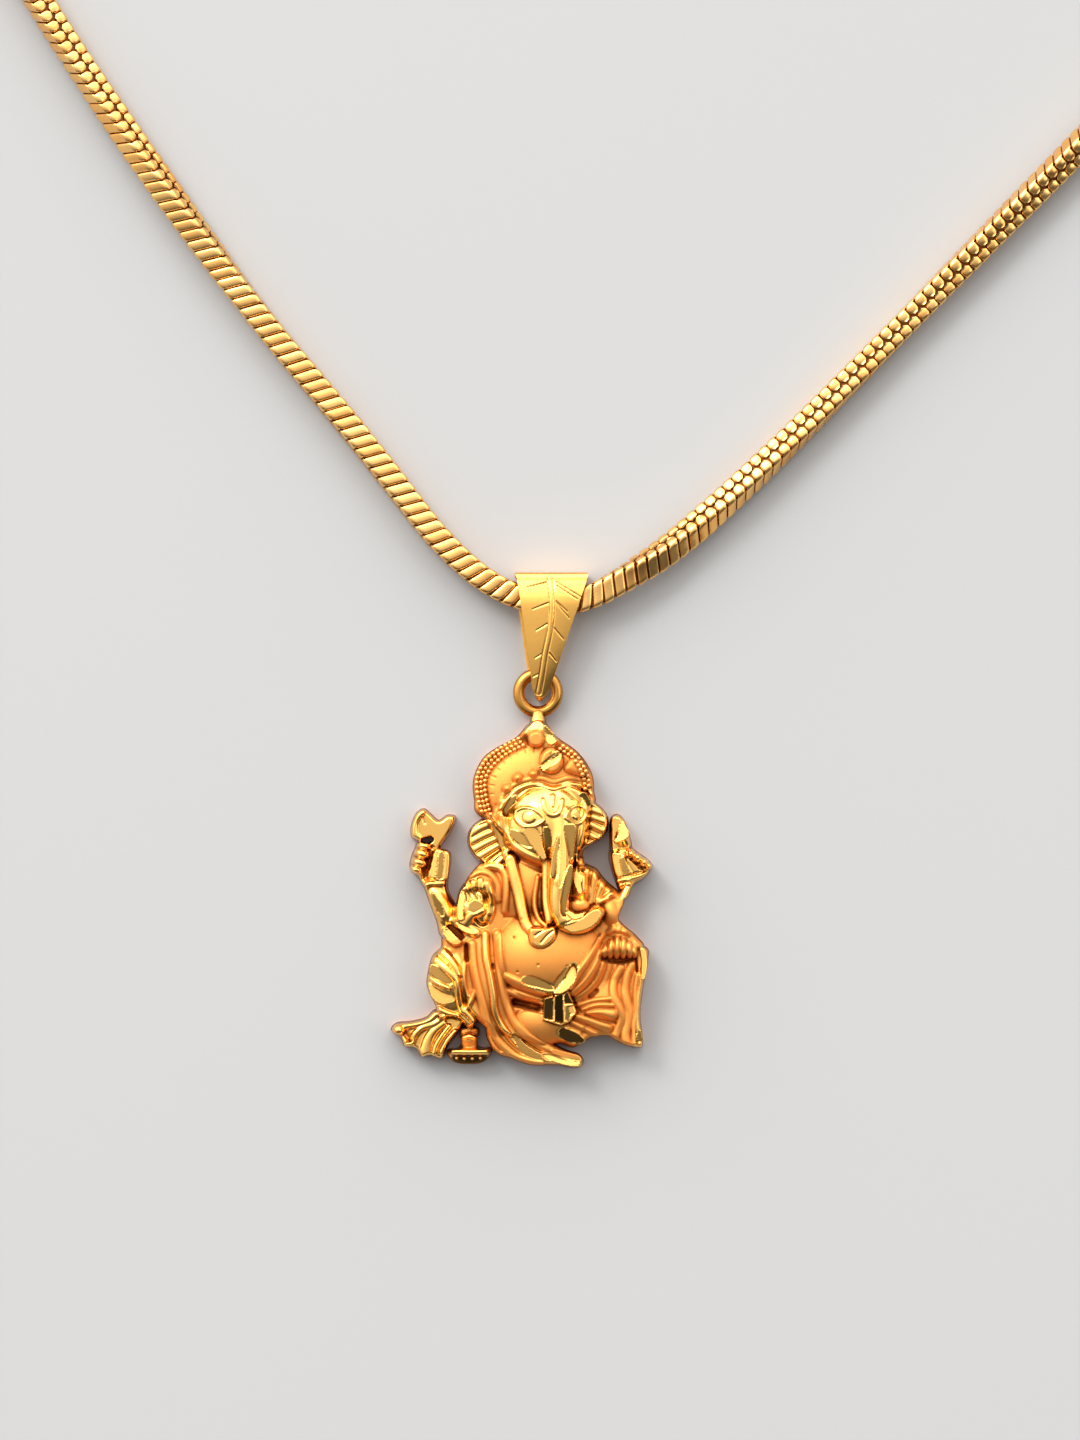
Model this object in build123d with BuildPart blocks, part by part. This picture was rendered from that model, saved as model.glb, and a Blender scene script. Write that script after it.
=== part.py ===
from build123d import *
import math
import os
from collections import namedtuple

import numpy as np

os.makedirs("parts", exist_ok=True)

# Driving sizes, in millimetres
figure_width = 20.8          # the cast figure, hand to hand
figure_height = 28.0         # from the hem to the crown's tip
figure_depth = 5.6           # from the flat back to the front of the trunk
rim_share = 0.15             # the side wall at the edge, as a share of the depth

ring_outer = 4.0             # jump ring soldered to the crown
ring_wire = 0.94
ring_lift = 0.90             # the ring's middle above the back

bail_wall = 0.35             # sheet that the bail is folded from
bail_length = 10.3           # top fold to tip
bail_width = 5.9             # across the top fold
bail_rise = 3.4              # the front leaf's height above the back at the top
bail_tip_rise = 1.85         # the same at the tip
bail_tip_width = 1.05
bail_corner = 0.6            # outside radius of the two top bends
tip_bend_share = 0.46        # the tip's bends, as a share of its height
bail_below_ring_middle = 0.7
bail_set_over = 1.05         # the top fold's middle, to the right of the ring's
vein_width = 0.16
vein_depth = 0.10

chain_side = 2.0             # the square snake chain
chain_corner = 0.35
chain_above_leaf = 0.11      # between the chain and the bail's back leaf
chain_lift = chain_side / 2  # the chain's middle above the floor where it lies
bail_chain_lift = bail_wall + chain_above_leaf + chain_side / 2  # the same inside the bail

cap_wall = 0.25
cap_side = chain_side + 2 * cap_wall  # square end caps
cap_chain_lift = cap_side / 2 + 0.01  # their middle above the floor
cap_length = 4.2
cap_pocket = 2.0             # how far the chain's end goes in
cap_clearance = 0.05
cap_ring_outer = 2.4
cap_ring_wire = 0.6
hook_wire = 0.9
hook_span = 7.0              # between the middles of the two cap rings
hook_half_width = 1.5
hook_tail = 2.3              # each free end of the hook, past its ring
hook_bend = 1.0
cap_edge = 0.3               # rounding of the caps' long edges
last_run = 13.0              # straight chain before each cap
bend_share = 0.45            # of the shorter run, taken by each bend of the chain
nape_point = (18.1, 210.3)   # the clasp's middle
nape_turn = -6               # degrees

# The carver's grid: squares across and up the figure, and the origin's place on it
squares_across = 52
squares_up = 70
origin_square = (28.8, 33.6)
facet_squares = 0.74         # side of one facet of the relief
slope_step = 0.05            # squares, for reading the edge's direction
least_slope = 0.25           # squared, below which the edge's direction isn't trusted
settling_rounds = 3          # of laying the border points on the edge
edge_margin = 3.0            # squares, beyond which an outline isn't measured
sliver_depth = 0.02          # squares, the least that a facet between edge points lies inside
edge_round = 0.9             # squares over which the surface turns down to the side wall
dome_skirt = 1.2             # how far a dome's flank reaches, as a share of its half width
crease_fill = 0.04           # how much of a crease between two masses is filled, as a share of the depth

square_x = figure_width / squares_across
square_y = figure_height / squares_up


def on_grid(x, y):
    """The place in millimetres of a point given in squares."""
    return (x - origin_square[0]) * square_x, (y - origin_square[1]) * square_y


# Plates are the figure's flat grounds: their outlines in squares, their heights in shares of the depth
Plate = namedtuple("Plate", "name edge top round outline")
plates = [
    Plate("halo", 0.15, 0.42, 0.9,
          [(17.9, 50.3), (16.6, 54), (16.5, 58), (18.3, 61.9), (20.9, 64), (25.0, 66.2), (27.7, 69.0),
           (30.9, 69.0), (33.0, 66.4), (37.3, 63.3), (40.0, 59.4), (40.6, 55.6), (39.8, 52.0), (28, 47)]),
    Plate("ring_tongue", 0.15, 0.26, 0.9, [(27.8, 67), (27.8, 71.2), (31.0, 71.2), (31.1, 67)]),
    Plate("left_ear", 0.15, 0.40, 0.9,
          [(19.6, 50.2), (17.2, 49.3), (15.6, 47.5), (15.3, 45.0), (16.4, 42.5), (18.8, 40.7),
           (22.0, 39.9), (24.0, 42.0), (23.5, 48.0)]),
    Plate("right_ear", 0.15, 0.40, 0.9,
          [(39.0, 53.6), (41.2, 52.9), (43.1, 50.9), (43.5, 48.5), (42.6, 46.3), (40.4, 44.8),
           (37.8, 43.8), (36.6, 48.0)]),
    Plate("head", 0.15, 0.56, 1.2,
          [(19.6, 50.6), (22.6, 46.0), (25.6, 43.2), (31.0, 40.4), (38.0, 43.2), (39.4, 47.0), (40.2, 53.6),
           (36.0, 57.0), (28.0, 57.0), (22.4, 54.6)]),
    Plate("torso", 0.15, 0.50, 1.5,
          [(16.2, 39.3), (18.5, 41.6), (23.0, 45.0), (30.0, 50.0), (38.4, 44.2), (38.5, 41.4),
           (41.0, 40.0), (43.0, 37.6), (46.6, 34.0), (45.3, 29.4), (45.0, 20.0), (38.0, 5.4),
           (33.6, 5.0), (24.0, 6.0), (14.8, 12.0), (13.6, 24.0), (12.8, 31.0), (14.6, 36.6)]),
    Plate("axe", 0.15, 0.34, 0.8,
          [(5.0, 51.0), (6.6, 52.0), (8.3, 50.7), (9.6, 49.7), (11.3, 50.7), (13.0, 50.3), (12.4, 48.0),
           (10.7, 45.2), (8.8, 42.9), (5.6, 42.9), (5.6, 45.2), (4.1, 46.2), (4.0, 48.5)]),
    Plate("left_fist", 0.15, 0.42, 0.9,
          [(5.6, 45.6), (4.6, 43.8), (4.0, 42.2), (3.7, 40.6), (4.3, 39.1), (5.5, 38.2), (6.6, 36.2),
           (9.0, 36.0), (9.4, 43.0), (7.8, 45.0)]),
    Plate("upper_left_hand", 0.15, 0.42, 0.9,
          [(7.1, 43.0), (9.3, 43.9), (11.9, 43.2), (11.9, 40.0), (11.4, 36.6), (12.2, 34.2), (14.2, 30.0),
           (13.2, 26.0), (10.0, 26.4), (9.0, 29.6), (7.0, 35.0), (6.7, 37.0)]),
    Plate("lower_left_hand", 0.15, 0.50, 0.8,
          [(12.6, 30.0), (13.0, 32.6), (13.6, 35.4), (14.4, 36.9), (15.4, 37.1), (16.3, 38.1), (17.7, 38.4),
           (19.0, 37.3), (20.4, 36.0), (21.0, 34.2), (20.9, 31.8), (19.8, 29.4), (17.8, 27.6),
           (15.9, 26.0), (13.6, 27.2)]),
    Plate("upper_right_hand", 0.15, 0.42, 0.8,
          [(43.6, 43.4), (43.8, 40.4), (44.6, 37.8), (46.2, 34.0), (47.6, 34.6), (48.4, 36.6), (50.4, 37.8),
           (52.2, 40.2), (51.6, 41.6), (49.4, 43.2), (47.4, 44.4)]),
    Plate("goad", 0.15, 0.36, 0.8,
          [(43.7, 43.6), (43.7, 49.2), (44.7, 50.8), (46.2, 50.3), (47.3, 47.9), (48.2, 44.2),
           (47.0, 42.6), (44.5, 42.6)]),
    Plate("lower_right_arm", 0.15, 0.52, 1.2,
          [(40.5, 34.5), (46.5, 34.3), (45.4, 30.6), (46.4, 28.8), (49.0, 26.6), (50.4, 24.0),
           (44.0, 22.0), (39.5, 27.0)]),
    Plate("right_skirt", 0.15, 0.46, 0.9,
          [(40.0, 25.0), (50.3, 24.6), (51.4, 21.6), (50.6, 17.0), (49.9, 11.0), (50.4, 5.5),
           (49.6, 4.1), (46.0, 5.0), (43.2, 6.6), (40.0, 6.2), (37.6, 4.9), (34.0, 8.0)]),
    Plate("left_drape", 0.15, 0.44, 1.0,
          [(10.4, 26.6), (10.0, 24.4), (8.2, 22.4), (7.4, 19.4), (7.2, 16.4), (8.9, 12.6), (9.6, 9.8),
           (13.0, 10.0), (16.0, 8.0), (18.0, 12.0), (16.4, 24.0), (14.0, 27.0)]),
    Plate("left_fan", 0.15, 0.34, 0.8,
          [(9.3, 11.9), (7.0, 10.3), (4.0, 9.5), (1.2, 9.2), (0.0, 7.8), (1.9, 6.3), (2.7, 4.5),
           (4.9, 4.0), (6.2, 2.3), (7.8, 2.6), (10.2, 2.0), (11.4, 4.3), (13.6, 7.4), (14.5, 10.0)]),
    Plate("pedestal", 0.15, 0.30, 0.7,
          [(13.9, 8.0), (13.9, 4.6), (11.4, 3.8), (11.4, 2.6), (13.0, 1.2), (15.6, 0.9), (18.2, 1.2),
           (20.0, 2.8), (20.0, 4.2), (17.4, 4.6), (17.6, 8.0)]),
    Plate("shawl_end", 0.15, 0.40, 0.8,
          [(19.0, 8.0), (19.9, 4.5), (21.6, 2.8), (24.2, 2.0), (28.0, 0.7), (33.0, 0.7), (37.0, 0.1),
           (38.5, 1.2), (37.6, 2.9), (34.0, 4.2), (30.0, 7.0), (22.0, 12.0)]),
]

# Gaps go right through the casting
Gap = namedtuple("Gap", "name outline")
gaps = [
    Gap("between_ear_and_arm",
        [(38.6, 43.6), (41.3, 44.9), (43.2, 47.2), (43.5, 44.4), (43.5, 41.6), (44.0, 39.0), (44.2, 38.0),
         (43.2, 37.8), (41.2, 40.1), (38.8, 41.6)]),
    Gap("axe_eye", [(6.5, 44.8), (6.5, 46.0), (8.1, 46.1), (8.2, 44.9)]),
    Gap("beside_foot_left", [(12.4, 5.4), (13.3, 6.2), (13.7, 4.9), (12.6, 4.2)]),
]

# Domes are the rounded masses: the middle, half widths and turn, then foot and top
Dome = namedtuple("Dome", "name x y half_x half_y turn foot top")
domes = [
    Dome("crown_cap", 28.4, 55.4, 9.2, 8.9, 0, 0.38, 0.56),
    Dome("finial", 29.4, 67.4, 2.1, 2.4, 0, 0.20, 0.48),
    Dome("chest", 30.0, 36.0, 11.0, 8.5, 0, 0.34, 0.64),
    Dome("right_breast", 37.3, 36.6, 2.4, 4.4, 12, 0.44, 0.70),
    Dome("left_shoulder", 18.9, 36.2, 4.6, 5.0, 0, 0.32, 0.58),
    Dome("belly", 31.8, 22.6, 11.6, 9.8, -8, 0.34, 0.88),
    Dome("knee", 45.4, 24.6, 4.0, 2.7, -4, 0.34, 0.62),
    Dome("hand_on_knee", 46.6, 27.4, 2.7, 1.7, -28, 0.36, 0.60),
    Dome("forearm_right", 43.9, 31.2, 2.2, 3.4, 14, 0.36, 0.62),
    Dome("left_forearm", 10.2, 32.4, 2.3, 5.4, 24, 0.24, 0.52),
    Dome("open_palm", 16.9, 32.4, 4.2, 5.8, -12, 0.30, 0.58),
    Dome("goad_blade", 46.0, 47.0, 1.8, 3.8, 12, 0.20, 0.44),
    Dome("left_haunch", 12.0, 18.0, 4.8, 7.2, 0, 0.26, 0.58),
    Dome("shawl_fall", 19.6, 18.0, 4.6, 12.5, 10, 0.26, 0.60),
    Dome("lap", 30.4, 9.8, 6.4, 5.0, -14, 0.30, 0.64),
    Dome("right_thigh", 42.0, 12.5, 7.4, 7.4, 0, 0.24, 0.56),
    Dome("head", 31.0, 48.0, 8.6, 9.4, -6, 0.40, 0.84),
]

# Limbs stand on the grounds: half widths and crest heights at both ends of a line, and how far
# the flanks drop below the crest
Limb = namedtuple("Limb", "name width_in width_out crest_in crest_out drop line")
limbs = [
    Limb("right_upper_arm", 1.2, 1.3, 0.46, 0.56, 0.18, [(47.6, 37.0), (46.4, 34.4), (45.0, 31.0)]),
    Limb("pedestal_disc", 0.9, 0.9, 0.40, 0.40, 0.16, [(12.4, 3.3), (15.8, 3.5), (19.2, 3.5)]),
    Limb("pedestal_neck", 1.7, 1.7, 0.34, 0.36, 0.12, [(15.7, 4.6), (15.6, 5.8)]),
    Limb("ring_neck", 1.5, 1.2, 0.42, 0.33, 0.16, [(29.3, 68.2), (29.4, 71.0)]),
]

# Straps and the trunk lie over everything else
front_limbs = [
    Limb("left_strap", 1.15, 0.95, 0.66, 0.84, 0.05,
         [(23.9, 41.8), (24.6, 39.0), (25.6, 35.0), (26.2, 32.0), (27.0, 29.2), (28.0, 27.8)]),
    Limb("inner_strap", 0.5, 0.5, 0.70, 0.82, 0.08,
         [(29.3, 38.4), (28.7, 33.4), (29.5, 30.2), (31.0, 28.7)]),
    Limb("middle_band", 0.8, 0.7, 0.70, 0.86, 0.06,
         [(31.0, 42.4), (30.9, 37.0), (31.0, 33.0), (31.6, 29.8)]),
    Limb("trunk", 3.3, 2.4, 0.84, 1.00, 0.34, [(33.8, 50.4), (34.0, 45.6), (33.9, 41.0), (33.7, 37.6)]),
    Limb("trunk_lower", 2.4, 2.0, 1.00, 0.98, 0.30,
         [(33.7, 37.6), (33.4, 34.4), (33.6, 31.6), (34.6, 29.9)]),
    Limb("trunk_curl", 2.0, 1.2, 0.98, 0.92, 0.22,
         [(34.6, 29.9), (36.4, 29.2), (38.5, 29.4), (40.1, 30.4), (41.1, 31.6)]),
]

# Folds follow the ground below them: half widths and rises at both ends of a line
Fold = namedtuple("Fold", "name width_in width_out rise_in rise_out line")
folds = [
    Fold("brow_cord", 0.55, 0.55, 0.048, 0.048,
         [(22.0, 52.0), (24.0, 54.8), (27.0, 56.5), (30.0, 56.8), (32.5, 56.1), (35.5, 56.9), (38.2, 56.4),
          (40.3, 55.0)]),
    Fold("brow_cord_upper", 0.6, 0.6, 0.045, 0.045,
         [(21.4, 53.2), (23.6, 56.0), (27.0, 57.7), (30.2, 58.0), (32.6, 57.3), (35.6, 58.1), (38.2, 57.6),
          (40.2, 56.4)]),
    Fold("left_ear_rim", 0.45, 0.45, 0.042, 0.042,
         [(19.2, 49.8), (17.0, 48.8), (15.9, 47.0), (15.8, 44.8), (16.9, 42.7), (19.2, 41.1), (22.4, 40.5)]),
    Fold("left_ear_root", 1.0, 0.9, 0.10, 0.06, [(19.6, 50.4), (20.8, 48.4), (22.1, 45.8), (23.4, 41.8)]),
    Fold("left_ear_rib_1", 0.7, 0.5, 0.045, 0.03, [(16.1, 46.9), (18.0, 48.1), (20.0, 48.9)]),
    Fold("left_ear_rib_2", 0.75, 0.5, 0.05, 0.04, [(16.1, 45.3), (18.6, 46.6), (20.8, 47.5)]),
    Fold("left_ear_rib_3", 0.75, 0.5, 0.05, 0.04, [(16.6, 43.7), (19.2, 45.1), (21.6, 46.2)]),
    Fold("left_ear_rib_4", 0.75, 0.5, 0.05, 0.04, [(17.7, 42.3), (20.0, 43.7), (22.2, 45.0)]),
    Fold("left_ear_rib_5", 0.7, 0.45, 0.05, 0.04, [(19.3, 41.3), (21.0, 42.6), (22.7, 43.9)]),
    Fold("left_ear_rib_6", 0.6, 0.4, 0.05, 0.04, [(21.2, 40.9), (22.3, 42.0), (23.0, 42.8)]),
    Fold("right_ear_rim", 0.45, 0.45, 0.042, 0.042,
         [(40.0, 53.2), (42.5, 51.3), (43.0, 48.6), (41.9, 46.1), (39.0, 44.6)]),
    Fold("right_ear_root", 0.8, 0.8, 0.05, 0.05, [(38.9, 52.8), (38.6, 48.6), (38.0, 44.6)]),
    Fold("right_ear_rib_1", 0.6, 0.6, 0.036, 0.036, [(39.9, 51.8), (41.8, 51.1)]),
    Fold("right_ear_rib_2", 0.62, 0.62, 0.036, 0.036, [(40.0, 50.3), (42.5, 49.4)]),
    Fold("right_ear_rib_3", 0.62, 0.62, 0.036, 0.036, [(39.8, 48.8), (42.4, 47.5)]),
    Fold("right_ear_rib_4", 0.6, 0.6, 0.036, 0.036, [(39.4, 46.9), (41.2, 45.9)]),
    Fold("cheek_band", 0.8, 0.7, 0.06, 0.048,
         [(22.3, 50.6), (22.6, 47.9), (24.0, 45.0), (26.4, 43.2), (29.4, 41.8)]),
    Fold("axe_bit", 0.8, 0.7, 0.03, 0.03, [(6.2, 51.3), (4.9, 49.6), (4.7, 47.2), (5.6, 46.0)]),
    Fold("upper_bangle_left", 0.6, 0.6, 0.054, 0.054,
         [(6.8, 36.0), (7.6, 36.9), (9.4, 37.0), (11.5, 37.2)]),
    Fold("open_hand_edge_left", 0.9, 0.8, 0.06, 0.06, [(13.5, 29.2), (13.7, 33.2), (14.5, 36.0)]),
    Fold("open_hand_finger_1", 0.6, 0.75, 0.02, 0.05, [(15.8, 33.4), (15.5, 35.0), (15.0, 36.6)]),
    Fold("open_hand_finger_2", 0.6, 0.75, 0.03, 0.05, [(16.8, 32.8), (16.7, 35.0), (16.4, 37.2)]),
    Fold("open_hand_finger_3", 0.6, 0.75, 0.03, 0.05, [(18.0, 33.0), (18.0, 35.2), (17.9, 37.6)]),
    Fold("open_hand_edge_right", 0.8, 0.8, 0.05, 0.05,
         [(19.4, 37.0), (20.1, 34.6), (20.2, 31.8), (19.4, 29.8)]),
    Fold("open_hand_ball", 1.1, 0.9, 0.05, 0.04, [(15.0, 29.2), (16.6, 31.0), (18.4, 31.6)]),
    Fold("open_hand_cuff", 1.1, 1.0, 0.05, 0.05, [(12.8, 29.4), (14.8, 28.2), (17.0, 27.2)]),
    Fold("shoulder_arc_inner", 0.7, 0.6, 0.054, 0.054,
         [(15.8, 38.6), (17.8, 39.5), (20.0, 38.9), (21.4, 36.8), (21.5, 33.8)]),
    Fold("shoulder_arc_outer", 0.75, 0.7, 0.06, 0.054,
         [(17.6, 40.7), (20.6, 40.4), (22.6, 39.4), (23.1, 36.4), (22.8, 31.6)]),
    Fold("right_shoulder_fold", 0.8, 0.6, 0.06, 0.054, [(41.0, 39.3), (40.3, 36.2), (39.9, 33.2)]),
    Fold("right_shoulder_edge", 0.8, 0.6, 0.06, 0.054, [(42.6, 37.5), (41.7, 35.6), (41.0, 33.3)]),
    Fold("right_shoulder_inner", 0.7, 0.6, 0.054, 0.048, [(39.4, 40.6), (38.9, 38.4), (38.6, 35.6)]),
    Fold("right_cuff", 0.6, 0.6, 0.06, 0.048, [(44.1, 35.0), (42.6, 33.9), (41.1, 33.0)]),
    Fold("upper_bangle_right", 0.55, 0.55, 0.06, 0.06,
         [(45.0, 37.5), (47.2, 37.9), (49.2, 38.4), (51.0, 39.0)]),
    Fold("haunch_fold_upper", 0.8, 0.7, 0.06, 0.054,
         [(9.6, 24.2), (11.5, 22.5), (13.0, 20.5), (13.8, 19.0)]),
    Fold("haunch_fold_middle", 0.9, 0.7, 0.06, 0.054,
         [(8.4, 22.3), (10.5, 20.6), (12.3, 18.9), (13.4, 17.6)]),
    Fold("haunch_fold_low", 0.6, 0.5, 0.054, 0.048, [(7.8, 20.3), (9.5, 19.4), (11.4, 17.8)]),
    Fold("haunch_fold_lower", 0.6, 0.6, 0.054, 0.054, [(7.6, 18.3), (9.5, 17.3), (11.5, 16.5)]),
    Fold("hanging_fold_outer", 0.65, 0.6, 0.06, 0.054,
         [(13.3, 17.6), (13.6, 15.0), (14.2, 12.0), (15.2, 11.2), (16.4, 9.8), (17.0, 8.0)]),
    Fold("hanging_fold_inner", 0.6, 0.55, 0.054, 0.054, [(16.8, 15.6), (15.9, 13.4), (14.9, 11.7)]),
    Fold("ankle_cuff", 0.6, 0.6, 0.054, 0.054, [(9.2, 12.2), (11.2, 11.3), (13.4, 10.5)]),
    Fold("fan_fold_1", 0.8, 1.0, 0.06, 0.06,
         [(9.4, 11.2), (8.0, 10.2), (6.0, 9.1), (3.5, 8.6), (1.5, 7.9)]),
    Fold("fan_fold_2", 0.75, 0.6, 0.06, 0.054,
         [(10.4, 10.2), (8.5, 8.9), (6.0, 7.9), (4.7, 6.9), (3.7, 4.9)]),
    Fold("fan_fold_3", 0.8, 0.8, 0.06, 0.054, [(11.4, 9.0), (9.5, 7.3), (8.3, 5.5), (7.0, 3.2)]),
    Fold("fan_fold_4", 0.55, 0.5, 0.054, 0.054, [(12.6, 7.6), (11.0, 5.5), (9.4, 2.9)]),
    Fold("pedestal_arch", 0.6, 0.6, 0.054, 0.054, [(13.9, 6.3), (15.6, 6.9), (17.3, 6.4)]),
    Fold("shawl_fold_a", 0.9, 0.8, 0.078, 0.06,
         [(16.2, 25.0), (16.5, 21.0), (17.3, 17.0), (18.5, 12.5), (19.5, 9.0), (21.0, 6.5), (23.0, 4.3),
          (25.6, 2.4), (30.0, 1.3)]),
    Fold("shawl_fold_b", 0.8, 0.75, 0.078, 0.06,
         [(18.9, 27.0), (19.1, 22.5), (19.8, 19.0), (20.5, 15.0), (20.8, 12.0), (21.8, 9.5), (23.6, 6.8),
          (26.6, 4.0), (31.5, 1.9)]),
    Fold("shawl_fold_c", 0.95, 0.85, 0.084, 0.06,
         [(21.3, 27.0), (21.6, 22.0), (22.4, 17.0), (23.3, 13.0), (24.8, 9.5), (27.0, 6.8), (29.5, 5.0),
          (32.0, 4.0), (37.6, 2.4)]),
    Fold("shawl_hem", 0.7, 0.7, 0.054, 0.054, [(30.5, 2.8), (34.4, 1.9), (37.8, 0.9)]),
    Fold("sash_upper", 1.0, 1.0, 0.078, 0.078, [(22.8, 18.4), (26.0, 17.1), (30.0, 15.9), (32.6, 15.3)]),
    Fold("sash_lower", 0.75, 0.65, 0.072, 0.072, [(22.7, 16.1), (25.5, 14.9), (28.0, 14.1), (30.8, 13.4)]),
    Fold("thigh_fold_1", 0.6, 0.5, 0.054, 0.048, [(37.3, 13.2), (40.6, 13.9), (44.0, 14.2)]),
    Fold("thigh_fold_2", 0.6, 0.6, 0.054, 0.048, [(37.5, 12.0), (40.5, 12.2), (43.5, 12.3), (45.0, 11.6)]),
    Fold("thigh_fold_3", 0.6, 0.6, 0.054, 0.048, [(37.0, 10.6), (40.2, 10.5), (44.8, 9.6)]),
    Fold("thigh_fold_4", 0.55, 0.6, 0.054, 0.048, [(36.5, 9.5), (40.0, 9.0), (43.8, 8.2)]),
    Fold("thigh_fold_5", 0.5, 0.6, 0.048, 0.042, [(35.8, 8.9), (38.4, 8.0), (41.4, 6.9)]),
    Fold("skirt_fold_1", 0.8, 0.8, 0.06, 0.06,
         [(44.0, 20.5), (43.6, 17.0), (44.2, 14.0), (45.8, 11.8), (45.5, 9.0), (44.2, 6.3)]),
    Fold("skirt_fold_2", 0.75, 0.75, 0.06, 0.06,
         [(46.8, 21.0), (46.0, 18.0), (46.3, 15.0), (47.4, 12.2), (47.2, 9.0), (46.8, 5.5)]),
    Fold("skirt_fold_3", 0.6, 0.65, 0.054, 0.054,
         [(48.6, 21.6), (48.6, 17.0), (48.9, 12.0), (48.7, 8.0), (48.9, 5.0)]),
    Fold("skirt_fold_4", 0.6, 0.6, 0.06, 0.06,
         [(50.5, 23.6), (50.7, 21.0), (50.1, 16.0), (49.7, 10.0), (50.0, 5.0)]),
    Fold("belly_fold_1", 0.65, 0.65, 0.06, 0.06, [(35.8, 16.5), (37.5, 19.5), (39.4, 22.2), (42.0, 26.5)]),
    Fold("belly_fold_2", 0.7, 0.65, 0.06, 0.06, [(36.5, 15.2), (39.0, 17.8), (41.0, 21.0), (41.9, 23.5)]),
    Fold("belly_fold_3", 0.65, 0.6, 0.06, 0.06, [(37.0, 13.9), (39.5, 15.6), (41.5, 18.0), (42.8, 21.5)]),
    Fold("knee_finger_1", 0.75, 0.7, 0.03, 0.03, [(42.5, 25.4), (42.7, 23.4)]),
    Fold("knee_finger_2", 0.78, 0.7, 0.036, 0.03, [(43.9, 26.1), (44.1, 23.1)]),
    Fold("knee_finger_3", 0.8, 0.75, 0.036, 0.03, [(45.5, 26.4), (45.6, 22.9)]),
    Fold("knee_finger_4", 0.78, 0.7, 0.036, 0.03, [(47.0, 26.0), (47.0, 23.0)]),
    Fold("knee_finger_5", 0.7, 0.6, 0.03, 0.03, [(48.3, 25.2), (48.2, 23.4)]),
]

# Slabs are flat-topped items set on the folds, given as the plates are
slabs = [
    Plate("left_palm", 0.40, 0.49, 0.5,
          [(8.5, 43.0), (9.0, 43.8), (10.2, 43.9), (11.6, 43.4), (12.0, 42.4), (11.9, 40.0), (11.6, 37.8),
           (9.6, 37.4), (7.4, 38.4), (7.9, 40.6)]),
    Plate("cuff_block", 0.40, 0.54, 0.4,
          [(10.1, 27.2), (10.3, 27.7), (10.9, 28.3), (11.1, 28.3), (14.5, 25.6), (14.6, 25.3), (14.2, 24.6),
           (12.6, 24.1), (12.3, 24.2), (10.8, 25.6)]),
    Plate("right_palm", 0.34, 0.47, 0.8,
          [(43.9, 43.2), (44.2, 40.4), (45.2, 38.0), (48.4, 38.6), (50.6, 39.4), (49.4, 41.2), (47.6, 42.4),
           (46.0, 43.4)]),
    Plate("crown_jewel", 0.50, 0.62, 0.8,
          [(29.6, 61.3), (30.3, 63.2), (31.9, 64.1), (33.6, 63.2), (34.4, 61.4), (33.8, 59.6), (32.0, 58.8),
           (30.3, 59.5)]),
    Plate("crown_petal", 0.46, 0.53, 1.3,
          [(34.4, 59.6), (35.2, 61.2), (36.6, 62.2), (38.0, 61.4), (39.0, 59.8), (39.2, 58.7), (38.2, 58.3),
           (36.2, 58.8)]),
    Plate("finial_drop", 0.42, 0.60, 0.9,
          [(27.3, 65.2), (27.9, 66.7), (29.0, 67.3), (30.2, 66.7), (30.8, 65.2), (30.2, 64.1), (29.0, 63.8),
           (27.8, 64.1)]),
    Plate("tassel_knob", 0.78, 0.94, 0.5,
          [(27.6, 28.0), (28.5, 28.5), (31.0, 28.4), (32.5, 28.7), (33.1, 27.6), (32.8, 26.0), (31.2, 24.6),
           (29.8, 24.3), (28.4, 24.7), (27.7, 25.8)]),
    Plate("buckle", 0.60, 0.78, 0.2,
          [(30.5, 10.0), (30.5, 10.2), (30.6, 14.2), (30.7, 14.3), (32.2, 14.8), (32.4, 14.8), (32.8, 14.5),
           (33.0, 14.5), (35.3, 15.9), (35.5, 15.8), (37.1, 11.7), (37.1, 11.5), (35.7, 9.6), (35.5, 9.5),
           (34.0, 8.9), (33.8, 8.9)]),
]

# Studs are small round items set on the folds
studs = [
    Dome("earring_drop", 37.9, 41.0, 0.75, 1.0, 0, 0.60, 0.70),
    Dome("knuckle_1", 47.9, 43.2, 0.8, 0.8, 0, 0.40, 0.52),
    Dome("knuckle_2", 49.2, 42.4, 0.85, 0.85, 0, 0.40, 0.53),
    Dome("knuckle_3", 50.5, 41.5, 0.8, 0.8, 0, 0.38, 0.52),
    Dome("knuckle_4", 51.5, 40.5, 0.7, 0.7, 0, 0.36, 0.47),
    Dome("fan_knob", 1.6, 7.8, 1.3, 1.25, 0, 0.30, 0.46),
    Dome("crown_bump_1", 21.7, 53.6, 1.2, 1.1, 30, 0.46, 0.58),
    Dome("crown_bump_2", 23.2, 56.0, 1.3, 1.1, 30, 0.48, 0.60),
    Dome("crown_bump_3", 25.3, 58.2, 1.3, 1.1, 20, 0.50, 0.61),
    Dome("crown_bump_4", 28.2, 59.0, 1.3, 1.0, 0, 0.50, 0.61),
    Dome("inner_curl", 37.6, 32.3, 1.6, 1.3, 0, 0.60, 0.72),
    Dome("skirt_lozenge", 36.0, 6.8, 3.1, 1.7, -24, 0.40, 0.54),
]

# Fingers round the axe haft
Finger = namedtuple("Finger", "start end")
fingers = [
    Finger((5.7, 44.9), (7.2, 44.1)), Finger((5.1, 43.4), (7.4, 42.4)),
    Finger((4.6, 41.9), (7.0, 40.9)), Finger((4.3, 40.4), (5.8, 39.5)),
]
finger_half_width = 0.8
finger_crest = 0.50
finger_drop = 0.10

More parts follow.
